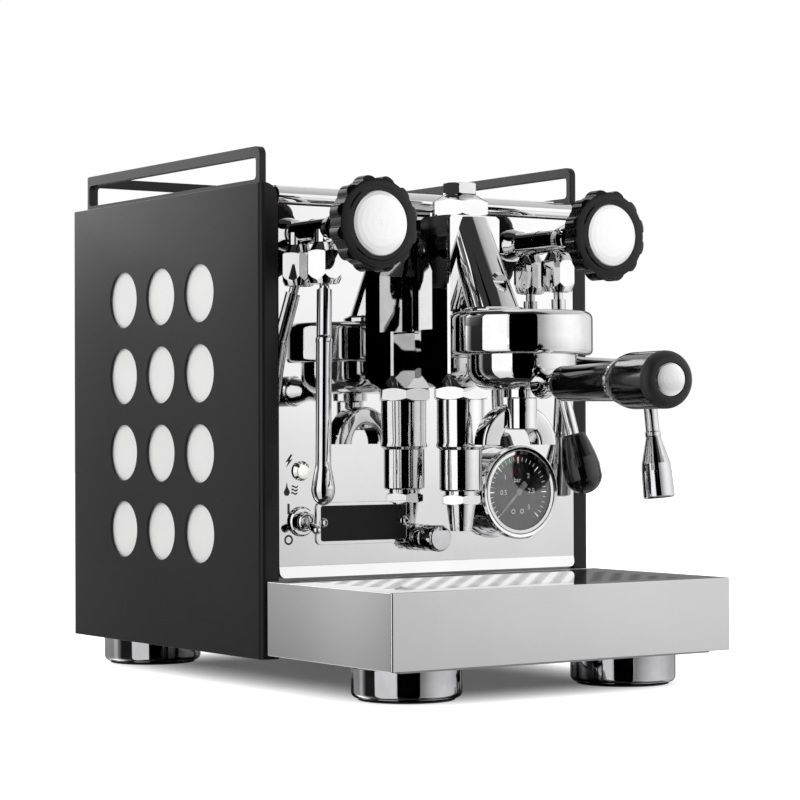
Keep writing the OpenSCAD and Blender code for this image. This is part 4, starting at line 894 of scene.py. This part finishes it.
card("rear_left_softbox", [(-192, 3.4), (-146, 3.2), (-136, 1.8), (-118, 0.3), (-90, 0.04)],
     [(0.95, 0.32, 0.25), (0.95, 0.5, 1), (0.95, 0.95, 1)])
card("rear_right_flag", [(116, 0.06), (128, 0.2), (168, 0.3)], [(1.5, 0, 1), (1.5, 1.0, 1)])
card("overhead_flag", [(-180, 0.04), (10, 0.04), (18, 0.45), (60, 0.65), (180, 0.8)],
     [(1.6, 1.0, 1), (1.0, 1.8, 1), (0.4, 2.1, 1)])
print("seven cards")

# %% [markdown]
# ## Gloss of the worktop
# The worktop is glossy paint: in grazing reflections it mirrors the cards.
# Near the machine it mirrors less, and more with distance: painted shade in
# the reflections, where the machine shades the worktop. Only glossy rays see
# this sheet.

# %% Gloss of the worktop
table_gloss, tree = new_material("table_gloss")
where = add(tree, "TexCoord").outputs["Object"]
reach = add(tree, "VectorMath", {0: where}, operation="LENGTH").outputs["Value"]
# Painted shade: the sheet mirrors less near the machine than further out.
share = add(tree, "MapRange", {"Value": reach, "From Min": 0.2, "From Max": 1.0,
            "To Min": 0.62, "To Max": 0.98}).outputs["Result"]
shine = add(tree, "BsdfGlossy", {"Color": tint(tree, share, "#000000", "#ffffff"),
            "Roughness": 0.0})
add(tree, "OutputMaterial", {"Surface": shine.outputs["BSDF"]})
bm = bmesh.new()
bmesh.ops.create_grid(bm, x_segments=1, y_segments=1, size=2.5,
                      matrix=Matrix.Translation((0, 0, 0.0004)))
obj = stage_piece("table_gloss", bm, table_gloss)
obj.visible_camera = obj.visible_diffuse = obj.visible_shadow = False
obj.visible_transmission = False
print("worktop gloss set")

# %% [markdown]
# ## Camera
# A long lens at the height of the panel's middle, 34 degrees round to the
# machine's left, so that the panel, the tray's corner and one side all show.

# %% Camera
CAMERA_PLACE = Vector((-0.9886, -1.4776, 0.1704))
CAMERA_YAW, CAMERA_PITCH, CAMERA_ROLL = 34.173, 0.706, -0.209
CAMERA_LENS = 112.86
yaw, pitch, roll = (math.radians(a) for a in
                    (CAMERA_YAW, CAMERA_PITCH, CAMERA_ROLL))
ahead = Vector((math.sin(yaw) * math.cos(pitch),
                math.cos(yaw) * math.cos(pitch), math.sin(pitch)))
right = Vector((math.cos(yaw), -math.sin(yaw), 0))
up = right.cross(ahead)
right, up = (math.cos(roll) * right + math.sin(roll) * up,
             math.cos(roll) * up - math.sin(roll) * right)
camera_data = bpy.data.cameras.new("camera")
camera_data.lens = CAMERA_LENS
camera_data.sensor_width = 36.0
camera = bpy.data.objects.new("camera", camera_data)
camera.matrix_world = Matrix.Translation(CAMERA_PLACE) @ Matrix(
    (right, up, -ahead)).transposed().to_4x4()
bpy.context.scene.collection.objects.link(camera)
bpy.context.scene.camera = camera
bpy.context.scene.view_settings.view_transform = "Standard"
print("camera at", [round(c, 3) for c in CAMERA_PLACE])
